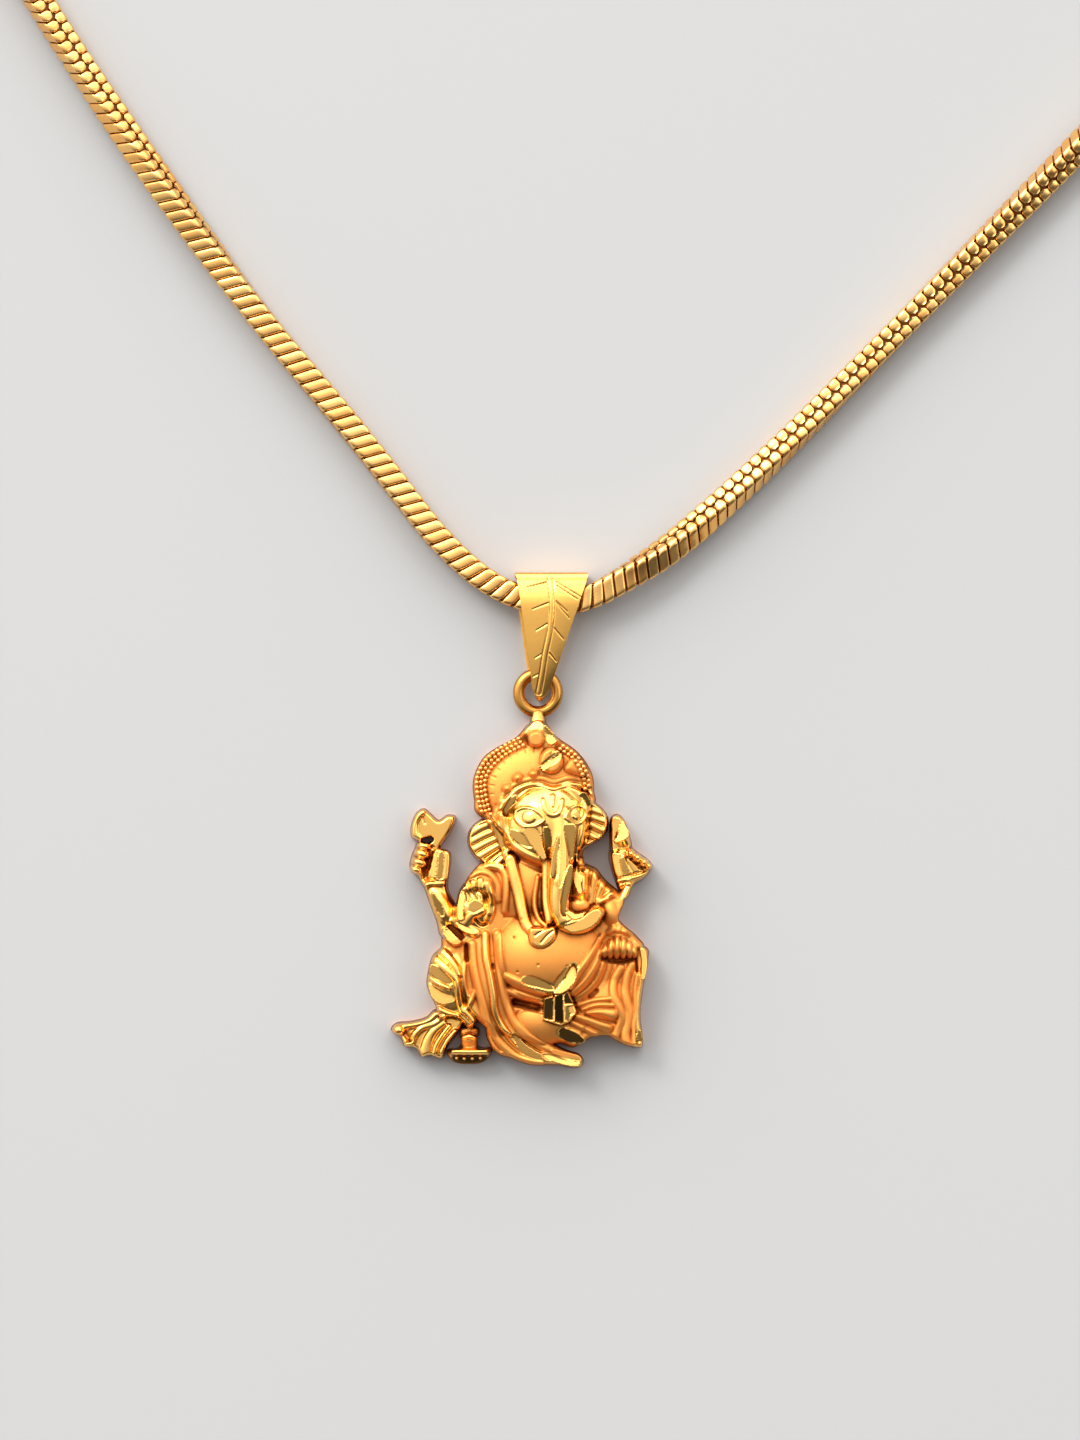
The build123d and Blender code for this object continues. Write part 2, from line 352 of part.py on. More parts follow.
# Cuts are valleys and slots taken out of the surface, as shares of the depth
Cut = namedtuple("Cut", "name half_width depth line")
cuts = [
    Cut("bead_channel_left", 1.6, 0.06,
        [(19.2, 51.2), (18.3, 54.4), (18.2, 57.9), (19.9, 61.1), (23.0, 63.6), (26.4, 65.4)]),
    Cut("bead_channel_right", 1.2, 0.06, [(33.8, 64.4), (36.8, 62.2), (38.7, 58.8), (39.2, 55.6)]),
    Cut("beside_trunk_left", 0.8, 0.05, [(30.8, 48.2), (31.0, 44.6), (31.5, 41.6)]),
    Cut("throat", 0.9, 0.08, [(24.4, 42.9), (27.2, 41.4), (30.2, 40.0)]),
    Cut("open_hand_hollow", 1.6, 0.05, [(15.8, 34.2), (17.2, 34.8), (18.6, 34.0)]),
    Cut("open_hand_notch", 0.4, 0.06, [(16.9, 30.0), (18.1, 28.9), (19.2, 29.2), (19.7, 30.6)]),
    Cut("hand_slot", 0.5, 0.24, [(11.4, 28.9), (14.5, 26.6)]),
    Cut("under_knee", 0.9, 0.07, [(42.0, 22.6), (43.8, 21.6), (46.2, 21.5), (48.4, 22.6)]),
    Cut("under_sash", 1.0, 0.20, [(24.9, 13.4), (26.8, 12.9), (29.2, 12.4)]),
    Cut("side_hollow", 0.7, 0.12, [(15.2, 24.6), (15.3, 22.0)]),
    Cut("haunch_pit", 0.7, 0.05, [(9.4, 19.3), (10.6, 18.7)]),
    Cut("fan_hollow", 0.8, 0.06, [(2.9, 7.0), (3.8, 6.0)]),
    Cut("fan_hollow_middle", 0.7, 0.05, [(6.4, 6.8), (5.7, 5.0)]),
    Cut("belly_hollow", 0.6, 0.05, [(41.0, 15.7), (39.7, 14.6)]),
    Cut("side_slit", 0.35, 0.10, [(48.8, 22.4), (49.1, 19.8)]),
    Cut("upper_arm_cleft", 0.8, 0.08, [(24.2, 42.8), (25.2, 41.8)]),
    Cut("foot_hollow_right", 0.6, 0.08, [(17.9, 5.4), (18.4, 4.8)]),
]


# The bail's outline: how far down its length, and both sides from its middle as shares of its width
LeafRow = namedtuple("LeafRow", "down left right")
leaf_rows = [LeafRow(-0.02, -0.50, 0.50), LeafRow(0.08, -0.49, 0.49), LeafRow(0.24, -0.44, 0.39),
             LeafRow(0.77, -0.27, 0.03), LeafRow(0.93, -0.235, -0.057)]

# Engraved veins of the leaf: both ends, across from its middle and down its length
Vein = namedtuple("Vein", "start_across start_down end_across end_down")
veins = [
    Vein(-0.02, 0.04, 0.01, 0.25), Vein(0.01, 0.25, -0.02, 0.46),
    Vein(-0.02, 0.46, -0.09, 0.66), Vein(-0.09, 0.66, -0.17, 0.90),
    Vein(-0.06, 0.07, -0.34, 0.11), Vein(-0.04, 0.24, -0.27, 0.30),
    Vein(-0.04, 0.40, -0.21, 0.45), Vein(-0.09, 0.62, -0.20, 0.67),
    Vein(0.08, 0.07, 0.42, 0.20), Vein(0.08, 0.24, 0.26, 0.36),
    Vein(0.03, 0.43, 0.17, 0.52), Vein(-0.04, 0.62, 0.04, 0.69),
]

# The chain's route between the two straight ends at the nape, left side first, chosen by eye.
# The climb is 0 where it lies on the floor and 1 inside the bail
RoutePoint = namedtuple("RoutePoint", "x y climb")
chain_route = [
    RoutePoint(-25.4, 204.8, 0), RoutePoint(-49.0, 186.3, 0), RoutePoint(-65.9, 153.9, 0),
    RoutePoint(-65.6, 113.2, 0), RoutePoint(-46.4, 82.8, 0), RoutePoint(-35.4, 65.0, 0),
    RoutePoint(-23.0, 47.6, 0), RoutePoint(-15.2, 38.4, 0), RoutePoint(-10.8, 32.8, 0.26),
    RoutePoint(-7.8, 28.9, 0.65), RoutePoint(-4.4, 25.75, 1), RoutePoint(-1.5, 24.2, 1),
    RoutePoint(1.4, 23.65, 1), RoutePoint(4.2, 24.0, 1), RoutePoint(7.3, 25.75, 1),
    RoutePoint(10.6, 27.85, 0.65), RoutePoint(15.2, 31.8, 0.26), RoutePoint(21.2, 37.5, 0),
    RoutePoint(32.8, 49.4, 0), RoutePoint(49.2, 66.0, 0), RoutePoint(79.8, 97.9, 0),
    RoutePoint(88.6, 137.6, 0), RoutePoint(78.8, 172.9, 0), RoutePoint(59.5, 195.8, 0),
]


def flowing(points, closed=False, steps=4):
    """A smooth line through the chosen points, each span cut into a few steps."""
    points = np.array(points, float)
    if closed:
        framed = np.vstack([points[-1:], points, points[:2]])
    else:
        framed = np.vstack([2 * points[:1] - points[1:2], points, 2 * points[-1:] - points[-2:-1]])
    before, start, end, after = framed[:-3], framed[1:-2], framed[2:-1], framed[3:]
    share = np.arange(steps)[:, None, None] / steps
    line = start + 0.5 * ((end - before) * share
                          + (2 * before - 5 * start + 4 * end - after) * share ** 2
                          + (3 * start - before - 3 * end + after) * share ** 3)
    line = line.transpose(1, 0, 2).reshape(-1, 2)
    return line if closed else np.vstack([line, points[-1:]])


def along(places, line):
    """Each place's distance from a line, and its share of the way along it."""
    run = np.diff(line, axis=0)
    offset = places[:, None] - line[None, :-1]
    share = np.clip((offset * run).sum(2) / (run ** 2).sum(1), 0, 1)
    distance = np.linalg.norm(offset - share[..., None] * run, axis=2)
    nearest = distance.argmin(1)
    row = np.arange(len(places))
    return distance[row, nearest], (nearest + share[row, nearest]) / len(run)


def beside(places, line, margin):
    """Which places lie within a margin of the line's own box."""
    return ((places > line.min(0) - margin) & (places < line.max(0) + margin)).all(1)


def inside_depth(places, outline):
    """How far each place lies inside a smooth closed outline; negative outside."""
    loop = flowing(outline, closed=True)
    loop = np.vstack([loop, loop[:1]])
    depth = np.full(len(places), -edge_margin)
    near = beside(places, loop, edge_margin)
    places = places[near]
    distance, _ = along(places, loop)
    x, y = places[:, :1], places[:, 1:]
    start_x, start_y = loop[:-1].T
    end_x, end_y = loop[1:].T
    crosses = (start_y > y) != (end_y > y)
    rise = np.where(start_y == end_y, 1, end_y - start_y)
    left_of = x < start_x + (y - start_y) * (end_x - start_x) / rise
    inside = (crosses & left_of).sum(1) % 2 == 1
    depth[near] = np.where(inside, distance, -distance)
    return depth


def edge_depth(places):
    """How far each place lies inside the whole figure's edge."""
    depth = np.max([inside_depth(places, plate.outline) for plate in plates], axis=0)
    for gap in gaps:
        depth = np.minimum(depth, -inside_depth(places, gap.outline))
    return depth


def rounded(reach):
    """Height share across a round back: 1 in the middle and 0 at the edge."""
    return np.sqrt(np.clip(1 - reach ** 2, 0, 1))


def merged(first, second):
    """The higher of two surfaces, with the crease between them filled a little."""
    fill = np.clip(crease_fill - np.abs(first - second), 0, None)
    return np.maximum(first, second) + fill ** 2 / (4 * crease_fill)


def raise_plate(height, places, plate):
    inner = inside_depth(places, plate.outline)
    shoulder = rounded(np.clip(1 - inner / plate.round, 0, 1))
    top = plate.edge + (plate.top - plate.edge) * shoulder
    return np.where(inner > 0, np.maximum(height, top), height)


def raise_dome(height, places, dome):
    turn = math.radians(dome.turn)
    x = places[:, 0] - dome.x
    y = places[:, 1] - dome.y
    across = (x * math.cos(turn) + y * math.sin(turn)) / dome.half_x
    up = (y * math.cos(turn) - x * math.sin(turn)) / dome.half_y
    reach = np.hypot(across, up)
    top = dome.foot + (dome.top - dome.foot) * rounded(reach) - np.clip(reach - 1, 0, None)
    return np.where(reach < dome_skirt, merged(height, top), height)


def across_line(places, line, width_in, width_out):
    """Which places lie on a band along the line, how far across it, and how far along it."""
    line = flowing(line)
    near = np.flatnonzero(beside(places, line, max(width_in, width_out)))
    distance, share = along(places[near], line)
    reach = distance / (width_in + (width_out - width_in) * share)
    on = reach < 1
    return near[on], reach[on], share[on]


def raise_limb(height, places, limb):
    on, reach, share = across_line(places, limb.line, limb.width_in, limb.width_out)
    crest = limb.crest_in + (limb.crest_out - limb.crest_in) * share
    height = height.copy()
    height[on] = merged(height[on], crest - limb.drop * (1 - rounded(reach)))
    return height


def relief(places):
    """The carved surface's height over each place, as a share of the figure's depth."""
    height = np.full(len(places), rim_share)
    for plate in plates:
        height = raise_plate(height, places, plate)
    for dome in domes:
        height = raise_dome(height, places, dome)
    for limb in limbs:
        height = raise_limb(height, places, limb)

    rise = np.zeros(len(places))
    for fold in folds:
        on, reach, share = across_line(places, fold.line, fold.width_in, fold.width_out)
        crest = fold.rise_in + (fold.rise_out - fold.rise_in) * share
        rise[on] = np.maximum(rise[on], crest * rounded(reach))
    height = height + rise
    for cut in cuts:
        on, reach, _ = across_line(places, cut.line, cut.half_width, cut.half_width)
        height[on] -= cut.depth * (1 - reach ** 2)

    for limb in front_limbs:
        height = raise_limb(height, places, limb)
    for slab in slabs:
        height = raise_plate(height, places, slab)
    for stud in studs:
        height = raise_dome(height, places, stud)
    for finger in fingers:
        height = raise_limb(height, places, Limb("finger", finger_half_width, finger_half_width,
                                                 finger_crest, finger_crest, finger_drop,
                                                 [finger.start, finger.end]))
    shoulder = rounded(1 - np.clip(edge_depth(places) / edge_round, 0, 1))
    return np.clip(height, rim_share, rim_share + (1 - rim_share) * shoulder)


def carved_facets():
    """The relief's facets: places in squares and triangles, its border laid exactly on the edge."""
    row_height = facet_squares * math.sqrt(3) / 2
    columns = int(squares_across / facet_squares) + 4
    rows = int((squares_up + 2) / row_height) + 4
    row, column = np.mgrid[0:rows, 0:columns]
    places = np.stack([(column + row % 2 / 2 - 1.5) * facet_squares, (row - 1.5) * row_height], -1)
    places = places.reshape(-1, 2)
    depth = edge_depth(places)
    near = np.abs(depth) < facet_squares / 2
    step_x, step_y = np.array([slope_step, 0]), np.array([0, slope_step])
    for _ in range(settling_rounds):
        here = places[near]
        level = edge_depth(here)
        slope_x, slope_y = edge_depth(here + step_x) - level, edge_depth(here + step_y) - level
        slope = np.stack([slope_x, slope_y], -1) / slope_step
        steep = np.maximum((slope ** 2).sum(1), least_slope)
        places[near] = here - slope * (level / steep)[:, None]
    depth[near] = 0

    index = (row * columns + column)[:-1, :-1]
    right, above = index + 1, index + columns
    odd = (row % 2 == 1)[:-1, :-1]
    lower = np.where(odd[..., None], np.stack([index, right, above + 1], -1),
                     np.stack([index, right, above], -1))
    upper = np.where(odd[..., None], np.stack([index, above + 1, above], -1),
                     np.stack([right, above + 1, above], -1))
    triangles = np.vstack([lower.reshape(-1, 3), upper.reshape(-1, 3)])
    inside = (depth[triangles] >= 0).all(1)
    triangles = triangles[inside]
    on_edge = (depth[triangles] == 0).all(1)
    middle = places[triangles].mean(1)
    keep = np.ones(len(triangles), bool)
    keep[on_edge] = edge_depth(middle[on_edge]) > sliver_depth
    triangles = triangles[keep]
    while True:
        starts = np.array([start for start, _ in border_sides(triangles)])
        passed, times = np.unique(starts, return_counts=True)
        if times.max() == 1:
            return places, triangles
        triangles = triangles[~np.isin(triangles, passed[times > 1]).any(1)]


def border_sides(triangles):
    """The facets' sides that have no neighbour, each with the figure on its left."""
    sides = np.vstack([triangles[:, [0, 1]], triangles[:, [1, 2]], triangles[:, [2, 0]]])
    walked = {tuple(side) for side in sides.tolist()}
    return [(start, end) for start, end in sorted(walked) if (end, start) not in walked]


def border_loops(triangles, places):
    """Closed rows of border points, the outer edge first and then the holes."""
    following = dict(border_sides(triangles))
    loops = []
    while following:
        loop = [next(iter(following))]
        while loop[0] != (end := following.pop(loop[-1])):
            loop.append(end)
        loops.append(loop)
    return sorted(loops, key=lambda loop: -np.ptp(places[loop], axis=0).prod())


def cast_relief():
    """The carved relief as one faceted solid with a flat back."""
    places, triangles = carved_facets()
    used = np.unique(triangles)
    height = np.zeros(len(places))
    height[used] = relief(places[used]) * figure_depth
    flat = [on_grid(x, y) for x, y in places]
    faces = [Face(Wire.make_polygon([(*flat[corner], height[corner]) for corner in triangle]))
             for triangle in triangles]
    rims = []
    for loop in border_loops(triangles, places):
        for start, end in zip(loop, loop[1:] + loop[:1]):
            faces.append(Face(Wire.make_polygon([(*flat[start], 0), (*flat[end], 0),
                                                 (*flat[end], height[end]),
                                                 (*flat[start], height[start])])))
        rims.append(Wire.make_polygon([(*flat[corner], 0) for corner in loop]))
    faces.append(Face(rims[0], rims[1:]))
    return Solid(Shell(faces))


# The cast figure, with the jump ring soldered on: its wire sinks into the end of the crown's tongue
ring_middle_radius = (ring_outer - ring_wire) / 2
ring_x, tongue_y = on_grid(29.4, 71.2)
ring_y = tongue_y + ring_middle_radius

with BuildPart() as figure:
    add(cast_relief())
    with Locations((ring_x, ring_y, ring_lift)):
        Torus(ring_middle_radius, ring_wire / 2)
figure.part.label = "figure"
export_step(figure.part, "parts/figure.step")

# The bail is a strip folded over at the top and at the tip, where it holds the ring
bail_tip_y = ring_y - bail_below_ring_middle
bail_top_y = bail_tip_y + bail_length
bail_x = ring_x + bail_set_over
bail_slope = math.atan2(bail_rise - bail_tip_rise, bail_length)
front_leaf = Plane(origin=(bail_x, bail_top_y, bail_rise), x_dir=(1, 0, 0),
                   z_dir=(0, -math.sin(bail_slope), math.cos(bail_slope)))

with BuildPart() as bail:
    with BuildSketch(Plane.YZ.offset(bail_x)) as folded_strip:
        with BuildLine():
            Polyline((bail_tip_y, 0), (bail_top_y, 0), (bail_top_y, bail_rise), (bail_tip_y, bail_tip_rise),
                     close=True)
        make_face()
        top_bends = folded_strip.vertices().group_by(Axis.Y)[-1]
        fillet(top_bends, bail_corner)
        tip_bends = folded_strip.vertices().sort_by(Axis.Y)[:2]
        fillet(tip_bends, bail_tip_rise * tip_bend_share)
        offset(amount=-bail_wall, mode=Mode.SUBTRACT)
    extrude(amount=bail_width, both=True)
    with BuildSketch() as leaf:
        with BuildLine():
            left_side = Polyline([(bail_x + row.left * bail_width, bail_top_y - row.down * bail_length)
                                  for row in leaf_rows])
            right_side = Polyline([(bail_x + row.right * bail_width, bail_top_y - row.down * bail_length)
                                   for row in leaf_rows])
            Line(left_side @ 0, right_side @ 0)
            ThreePointArc(left_side @ 1, ((left_side @ 1).X + bail_tip_width / 2, bail_tip_y), right_side @ 1)
        make_face()
    extrude(amount=bail_rise * 2, both=True, mode=Mode.INTERSECT)
    with BuildSketch(front_leaf):
        for vein in veins:
            start = Vector(vein.start_across * bail_width, -vein.start_down * bail_length)
            end = Vector(vein.end_across * bail_width, -vein.end_down * bail_length)
            run = end - start
            with Locations((start + end) / 2):
                Rectangle(run.length, vein_width, rotation=math.degrees(math.atan2(run.Y, run.X)))
    extrude(amount=-vein_depth, mode=Mode.SUBTRACT)
bail.part.label = "bail"
export_step(bail.part, "parts/bail.step")

# The clasp's own plane: its X runs along the nape from the left end cap to the right one
cap_ring_middle_radius = (cap_ring_outer - cap_ring_wire) / 2
chain_gap = 2 * (cap_length - cap_pocket + cap_ring_middle_radius) + hook_span
nape = Plane(origin=(*nape_point, cap_chain_lift), x_dir=Vector(1, 0, 0).rotate(Axis.Z, nape_turn),
             z_dir=(0, 0, 1))


def nape_place(x):
    return nape.from_local_coords(Vector(x, 0, 0))


# The chain lies on the floor, climbs a little through the bail, and ends in the two caps
route = [nape_place(-chain_gap / 2), nape_place(-chain_gap / 2 - last_run)]
route += [Vector(point.x, point.y, chain_lift + point.climb * (bail_chain_lift - chain_lift))
          for point in chain_route]
route += [nape_place(chain_gap / 2 + last_run), nape_place(chain_gap / 2)]
runs = [end - start for start, end in zip(route, route[1:])]
radii = [bend_share * min(before.length, after.length) / math.tan(math.radians(before.get_angle(after)) / 2)
         for before, after in zip(runs, runs[1:])]
print("chain bend radii", [round(radius, 1) for radius in radii])

with BuildPart() as chain:
    with BuildLine():
        chain_line = FilletPolyline(*route, radius=radii)
    with BuildSketch(Plane(origin=chain_line @ 0, x_dir=nape.y_dir, z_dir=chain_line % 0)):
        RectangleRounded(chain_side, chain_side, chain_corner)
    sweep(path=chain_line)
chain_section = chain_side ** 2 - (4 - math.pi) * chain_corner ** 2
print("chain length", chain_line.length, "volume over section", chain.part.volume / chain_section)
chain.part.label = "chain"
export_step(chain.part, "parts/chain.step")

# A square cap is soldered on each end of the chain, with an upright ring on its outer face
for side, name in ((-1, "end_cap_left"), (1, "end_cap_right")):
    chain_end = side * chain_gap / 2
    cap_face = chain_end - side * (cap_length - cap_pocket)
    with BuildPart(nape) as end_cap:
        with Locations((cap_face + side * cap_length / 2, 0, 0)):
            Box(cap_length, cap_side, cap_side)
        fillet(end_cap.edges().filter_by(lambda edge: abs((edge % 0).dot(nape.x_dir)) > 0.9), cap_edge)
        with Locations((chain_end + side * (cap_pocket - cap_clearance) / 2, 0, 0)):
            Box(cap_pocket + cap_clearance, chain_side + 2 * cap_clearance, chain_side + 2 * cap_clearance,
                mode=Mode.SUBTRACT)
        with Locations((cap_face - side * cap_ring_middle_radius, 0, 0)):
            Torus(cap_ring_middle_radius, cap_ring_wire / 2, rotation=(90, 0, 0))
    end_cap.part.label = name
    export_step(end_cap.part, f"parts/{name}.step")

# The hook is one bent wire that passes through both cap rings
with BuildPart() as s_hook:
    with BuildLine(nape):
        hook_line = FilletPolyline(
            (-hook_span / 2 + hook_tail, hook_half_width), (-hook_span / 2, hook_half_width),
            (-hook_span / 2, -hook_half_width), (hook_span / 2, hook_half_width),
            (hook_span / 2, -hook_half_width), (hook_span / 2 - hook_tail, -hook_half_width),
            radius=hook_bend)
    with BuildSketch(Plane(origin=hook_line @ 0, z_dir=hook_line % 0)):
        Circle(hook_wire / 2)
    sweep(path=hook_line)
s_hook.part.label = "s_hook"
export_step(s_hook.part, "parts/s_hook.step")
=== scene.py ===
import math
from collections import namedtuple

import bmesh
import bpy
import numpy as np
from mathutils import Matrix, Vector


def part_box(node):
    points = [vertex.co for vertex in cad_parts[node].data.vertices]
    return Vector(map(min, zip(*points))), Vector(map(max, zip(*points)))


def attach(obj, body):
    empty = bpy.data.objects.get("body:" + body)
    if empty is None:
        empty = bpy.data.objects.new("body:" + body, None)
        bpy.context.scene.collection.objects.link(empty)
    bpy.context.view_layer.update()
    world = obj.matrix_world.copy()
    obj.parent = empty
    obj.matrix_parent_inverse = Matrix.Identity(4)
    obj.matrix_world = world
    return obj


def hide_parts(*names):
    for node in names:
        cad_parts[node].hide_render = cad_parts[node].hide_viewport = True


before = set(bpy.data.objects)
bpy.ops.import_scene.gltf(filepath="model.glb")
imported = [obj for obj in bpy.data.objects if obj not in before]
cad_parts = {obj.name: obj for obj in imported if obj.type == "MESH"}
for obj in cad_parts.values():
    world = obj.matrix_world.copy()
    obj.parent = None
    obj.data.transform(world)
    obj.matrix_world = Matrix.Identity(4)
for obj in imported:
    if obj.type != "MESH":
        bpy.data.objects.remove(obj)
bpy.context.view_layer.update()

# The figure: one investment casting in gold alloy, a deep relief with a flat back. Its grounds, folds
# and limbs are sandblasted to a satin skin, then the face, ears, hands and some folds are burnished
# and diamond-cut bright, and a painted brown shade darkens the recesses.
figure_low, figure_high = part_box("figure")
figure_depth = figure_high.z - figure_low.z
squares_across = 52
square = 0.0004                  # the carver's grid, in metres
origin_square = (28.8, 33.6)
squares_up = 70
facet_squares = 0.1688             # side of one facet of the relief
rim_share = 0.15                 # the side wall at the edge, as a share of the depth
edge_round = 0.9                 # squares over which the surface turns down to the side wall
edge_reach = 3.0                 # squares, beyond which an outline isn't measured
dome_skirt = 1.2                 # how far a dome's flank reaches, as a share of its half width
crease_fill = 0.04               # how much of a crease between two masses is filled
slope_step = 0.05                # squares, for reading the edge's direction
least_slope = 0.25               # keeps a flat stretch of the measured edge from throwing a point away
settling_rounds = 3
sliver_depth = 0.02              # squares, the least that a facet between edge points lies inside


def on_grid(x, y):
    """The place in metres of a point given in squares."""
    return (x - origin_square[0]) * square, (y - origin_square[1]) * square


# Plates are the figure's flat grounds: their outlines in squares, their heights in shares of the depth
Plate = namedtuple("Plate", "name edge top round outline")
plates = [
    Plate("halo", 0.15, 0.42, 0.9,
          [(17.9, 50.3), (16.6, 54), (16.5, 58), (18.3, 61.9), (20.9, 64), (25.0, 66.2), (27.7, 69.0),
           (30.9, 69.0), (33.0, 66.4), (37.3, 63.3), (40.0, 59.4), (40.6, 55.6), (39.8, 52.0), (28, 47)]),
    Plate("ring_tongue", 0.15, 0.26, 0.9, [(27.7, 67), (28.4, 71.2), (30.4, 71.2), (31.1, 67)]),
    Plate("left_ear", 0.15, 0.40, 0.9,
          [(19.6, 50.2), (17.2, 49.3), (15.6, 47.5), (15.3, 45.0), (16.4, 42.5), (18.8, 40.7),
           (22.0, 39.9), (24.0, 42.0), (23.5, 48.0)]),
    Plate("right_ear", 0.15, 0.40, 0.9,
          [(39.0, 53.6), (41.2, 52.9), (43.1, 50.9), (43.5, 48.5), (42.6, 46.3), (40.4, 44.8),
           (37.8, 43.8), (36.6, 48.0)]),
    Plate("head", 0.15, 0.56, 1.2,
          [(19.6, 50.6), (22.6, 46.0), (25.6, 43.2), (31.0, 40.4), (38.0, 43.2), (39.4, 47.0), (40.2, 53.6),
           (36.0, 57.0), (28.0, 57.0), (22.4, 54.6)]),
    Plate("torso", 0.15, 0.50, 1.5,
          [(16.2, 39.3), (18.5, 41.6), (23.0, 45.0), (30.0, 50.0), (38.4, 44.2), (38.5, 41.4),
           (41.0, 40.0), (43.0, 37.6), (46.6, 34.0), (45.3, 29.4), (45.0, 20.0), (38.0, 5.4),
           (33.6, 5.0), (24.0, 6.0), (14.8, 12.0), (13.6, 24.0), (12.8, 31.0), (14.6, 36.6)]),
    Plate("axe", 0.15, 0.34, 0.8,
          [(5.0, 51.0), (6.6, 52.0), (8.3, 50.7), (9.6, 49.7), (11.3, 50.7), (13.0, 50.3), (12.4, 48.0),
           (10.7, 45.2), (8.8, 42.9), (5.6, 42.9), (5.6, 45.2), (4.1, 46.2), (4.0, 48.5)]),
    Plate("left_fist", 0.15, 0.42, 0.9,
          [(5.6, 45.6), (4.6, 43.8), (4.0, 42.2), (3.7, 40.6), (4.3, 39.1), (5.5, 38.2), (6.6, 36.2),
           (9.0, 36.0), (9.4, 43.0), (7.8, 45.0)]),
    Plate("upper_left_hand", 0.15, 0.42, 0.9,
          [(7.1, 43.0), (9.3, 43.9), (11.9, 43.2), (11.9, 40.0), (11.4, 36.6), (12.2, 34.2), (14.2, 30.0),
           (13.2, 26.0), (10.0, 26.4), (9.0, 29.6), (7.0, 35.0), (6.7, 37.0)]),
    Plate("lower_left_hand", 0.15, 0.50, 0.8,
          [(12.6, 30.0), (13.0, 32.6), (13.6, 35.4), (14.4, 36.9), (15.4, 37.1), (16.3, 38.1), (17.7, 38.4),
           (19.0, 37.3), (20.4, 36.0), (21.0, 34.2), (20.9, 31.8), (19.8, 29.4), (17.8, 27.6),
           (15.9, 26.0), (13.6, 27.2)]),
    Plate("upper_right_hand", 0.15, 0.42, 0.8,
          [(43.6, 43.4), (43.8, 40.4), (44.6, 37.8), (46.2, 34.0), (47.6, 34.6), (48.4, 36.6), (50.4, 37.8),
           (52.2, 40.2), (51.6, 41.6), (49.4, 43.2), (47.4, 44.4)]),
    Plate("goad", 0.15, 0.36, 0.8,
          [(43.7, 43.6), (43.7, 49.2), (44.7, 50.8), (46.2, 50.3), (47.3, 47.9), (48.2, 44.2),
           (47.0, 42.6), (44.5, 42.6)]),
    Plate("lower_right_arm", 0.15, 0.52, 1.2,
          [(40.5, 34.5), (46.5, 34.3), (45.4, 30.6), (46.4, 28.8), (49.0, 26.6), (50.4, 24.0),
           (44.0, 22.0), (39.5, 27.0)]),
    Plate("right_skirt", 0.15, 0.46, 0.9,
          [(40.0, 25.0), (50.3, 24.6), (51.4, 21.6), (50.6, 17.0), (49.9, 11.0), (50.4, 5.5),
           (49.6, 4.1), (46.0, 5.0), (43.2, 6.6), (40.0, 6.2), (37.6, 4.9), (34.0, 8.0)]),
    Plate("left_drape", 0.15, 0.44, 1.0,
          [(10.4, 26.6), (10.0, 24.4), (8.2, 22.4), (7.4, 19.4), (7.2, 16.4), (8.9, 12.6), (9.6, 9.8),
           (13.0, 10.0), (16.0, 8.0), (18.0, 12.0), (16.4, 24.0), (14.0, 27.0)]),
    Plate("left_fan", 0.15, 0.34, 0.8,
          [(9.3, 11.9), (7.0, 10.3), (4.0, 9.5), (1.2, 9.2), (0.0, 7.8), (1.9, 6.3), (2.7, 4.5),
           (4.9, 4.0), (6.2, 2.3), (7.8, 2.6), (10.2, 2.0), (11.4, 4.3), (13.6, 7.4), (14.5, 10.0)]),
    Plate("pedestal", 0.15, 0.30, 0.7,
          [(13.9, 8.0), (13.9, 4.6), (11.4, 3.8), (11.4, 2.6), (13.0, 1.2), (15.6, 0.9), (18.2, 1.2),
           (20.0, 2.8), (20.0, 4.2), (17.4, 4.6), (17.6, 8.0)]),
    Plate("shawl_end", 0.15, 0.40, 0.8,
          [(19.0, 8.0), (19.9, 4.5), (21.6, 2.8), (24.2, 2.0), (28.0, 0.7), (33.0, 0.7), (37.0, 0.1),
           (38.5, 1.2), (37.6, 2.9), (34.0, 4.2), (30.0, 7.0), (22.0, 12.0)]),
]

# Gaps go right through the casting
Gap = namedtuple("Gap", "name outline")
gaps = [
    Gap("between_ear_and_arm",
        [(38.6, 43.6), (41.3, 44.9), (43.2, 47.2), (43.5, 44.4), (43.5, 41.6), (44.0, 39.0), (44.2, 38.0),
         (43.2, 37.8), (41.2, 40.1), (38.8, 41.6)]),
    Gap("axe_eye", [(6.5, 45.2), (6.5, 45.9), (8.1, 46.2), (8.3, 45.4)]),
    Gap("beside_foot_left", [(12.4, 5.4), (13.3, 6.2), (13.7, 4.9), (12.6, 4.2)]),
]

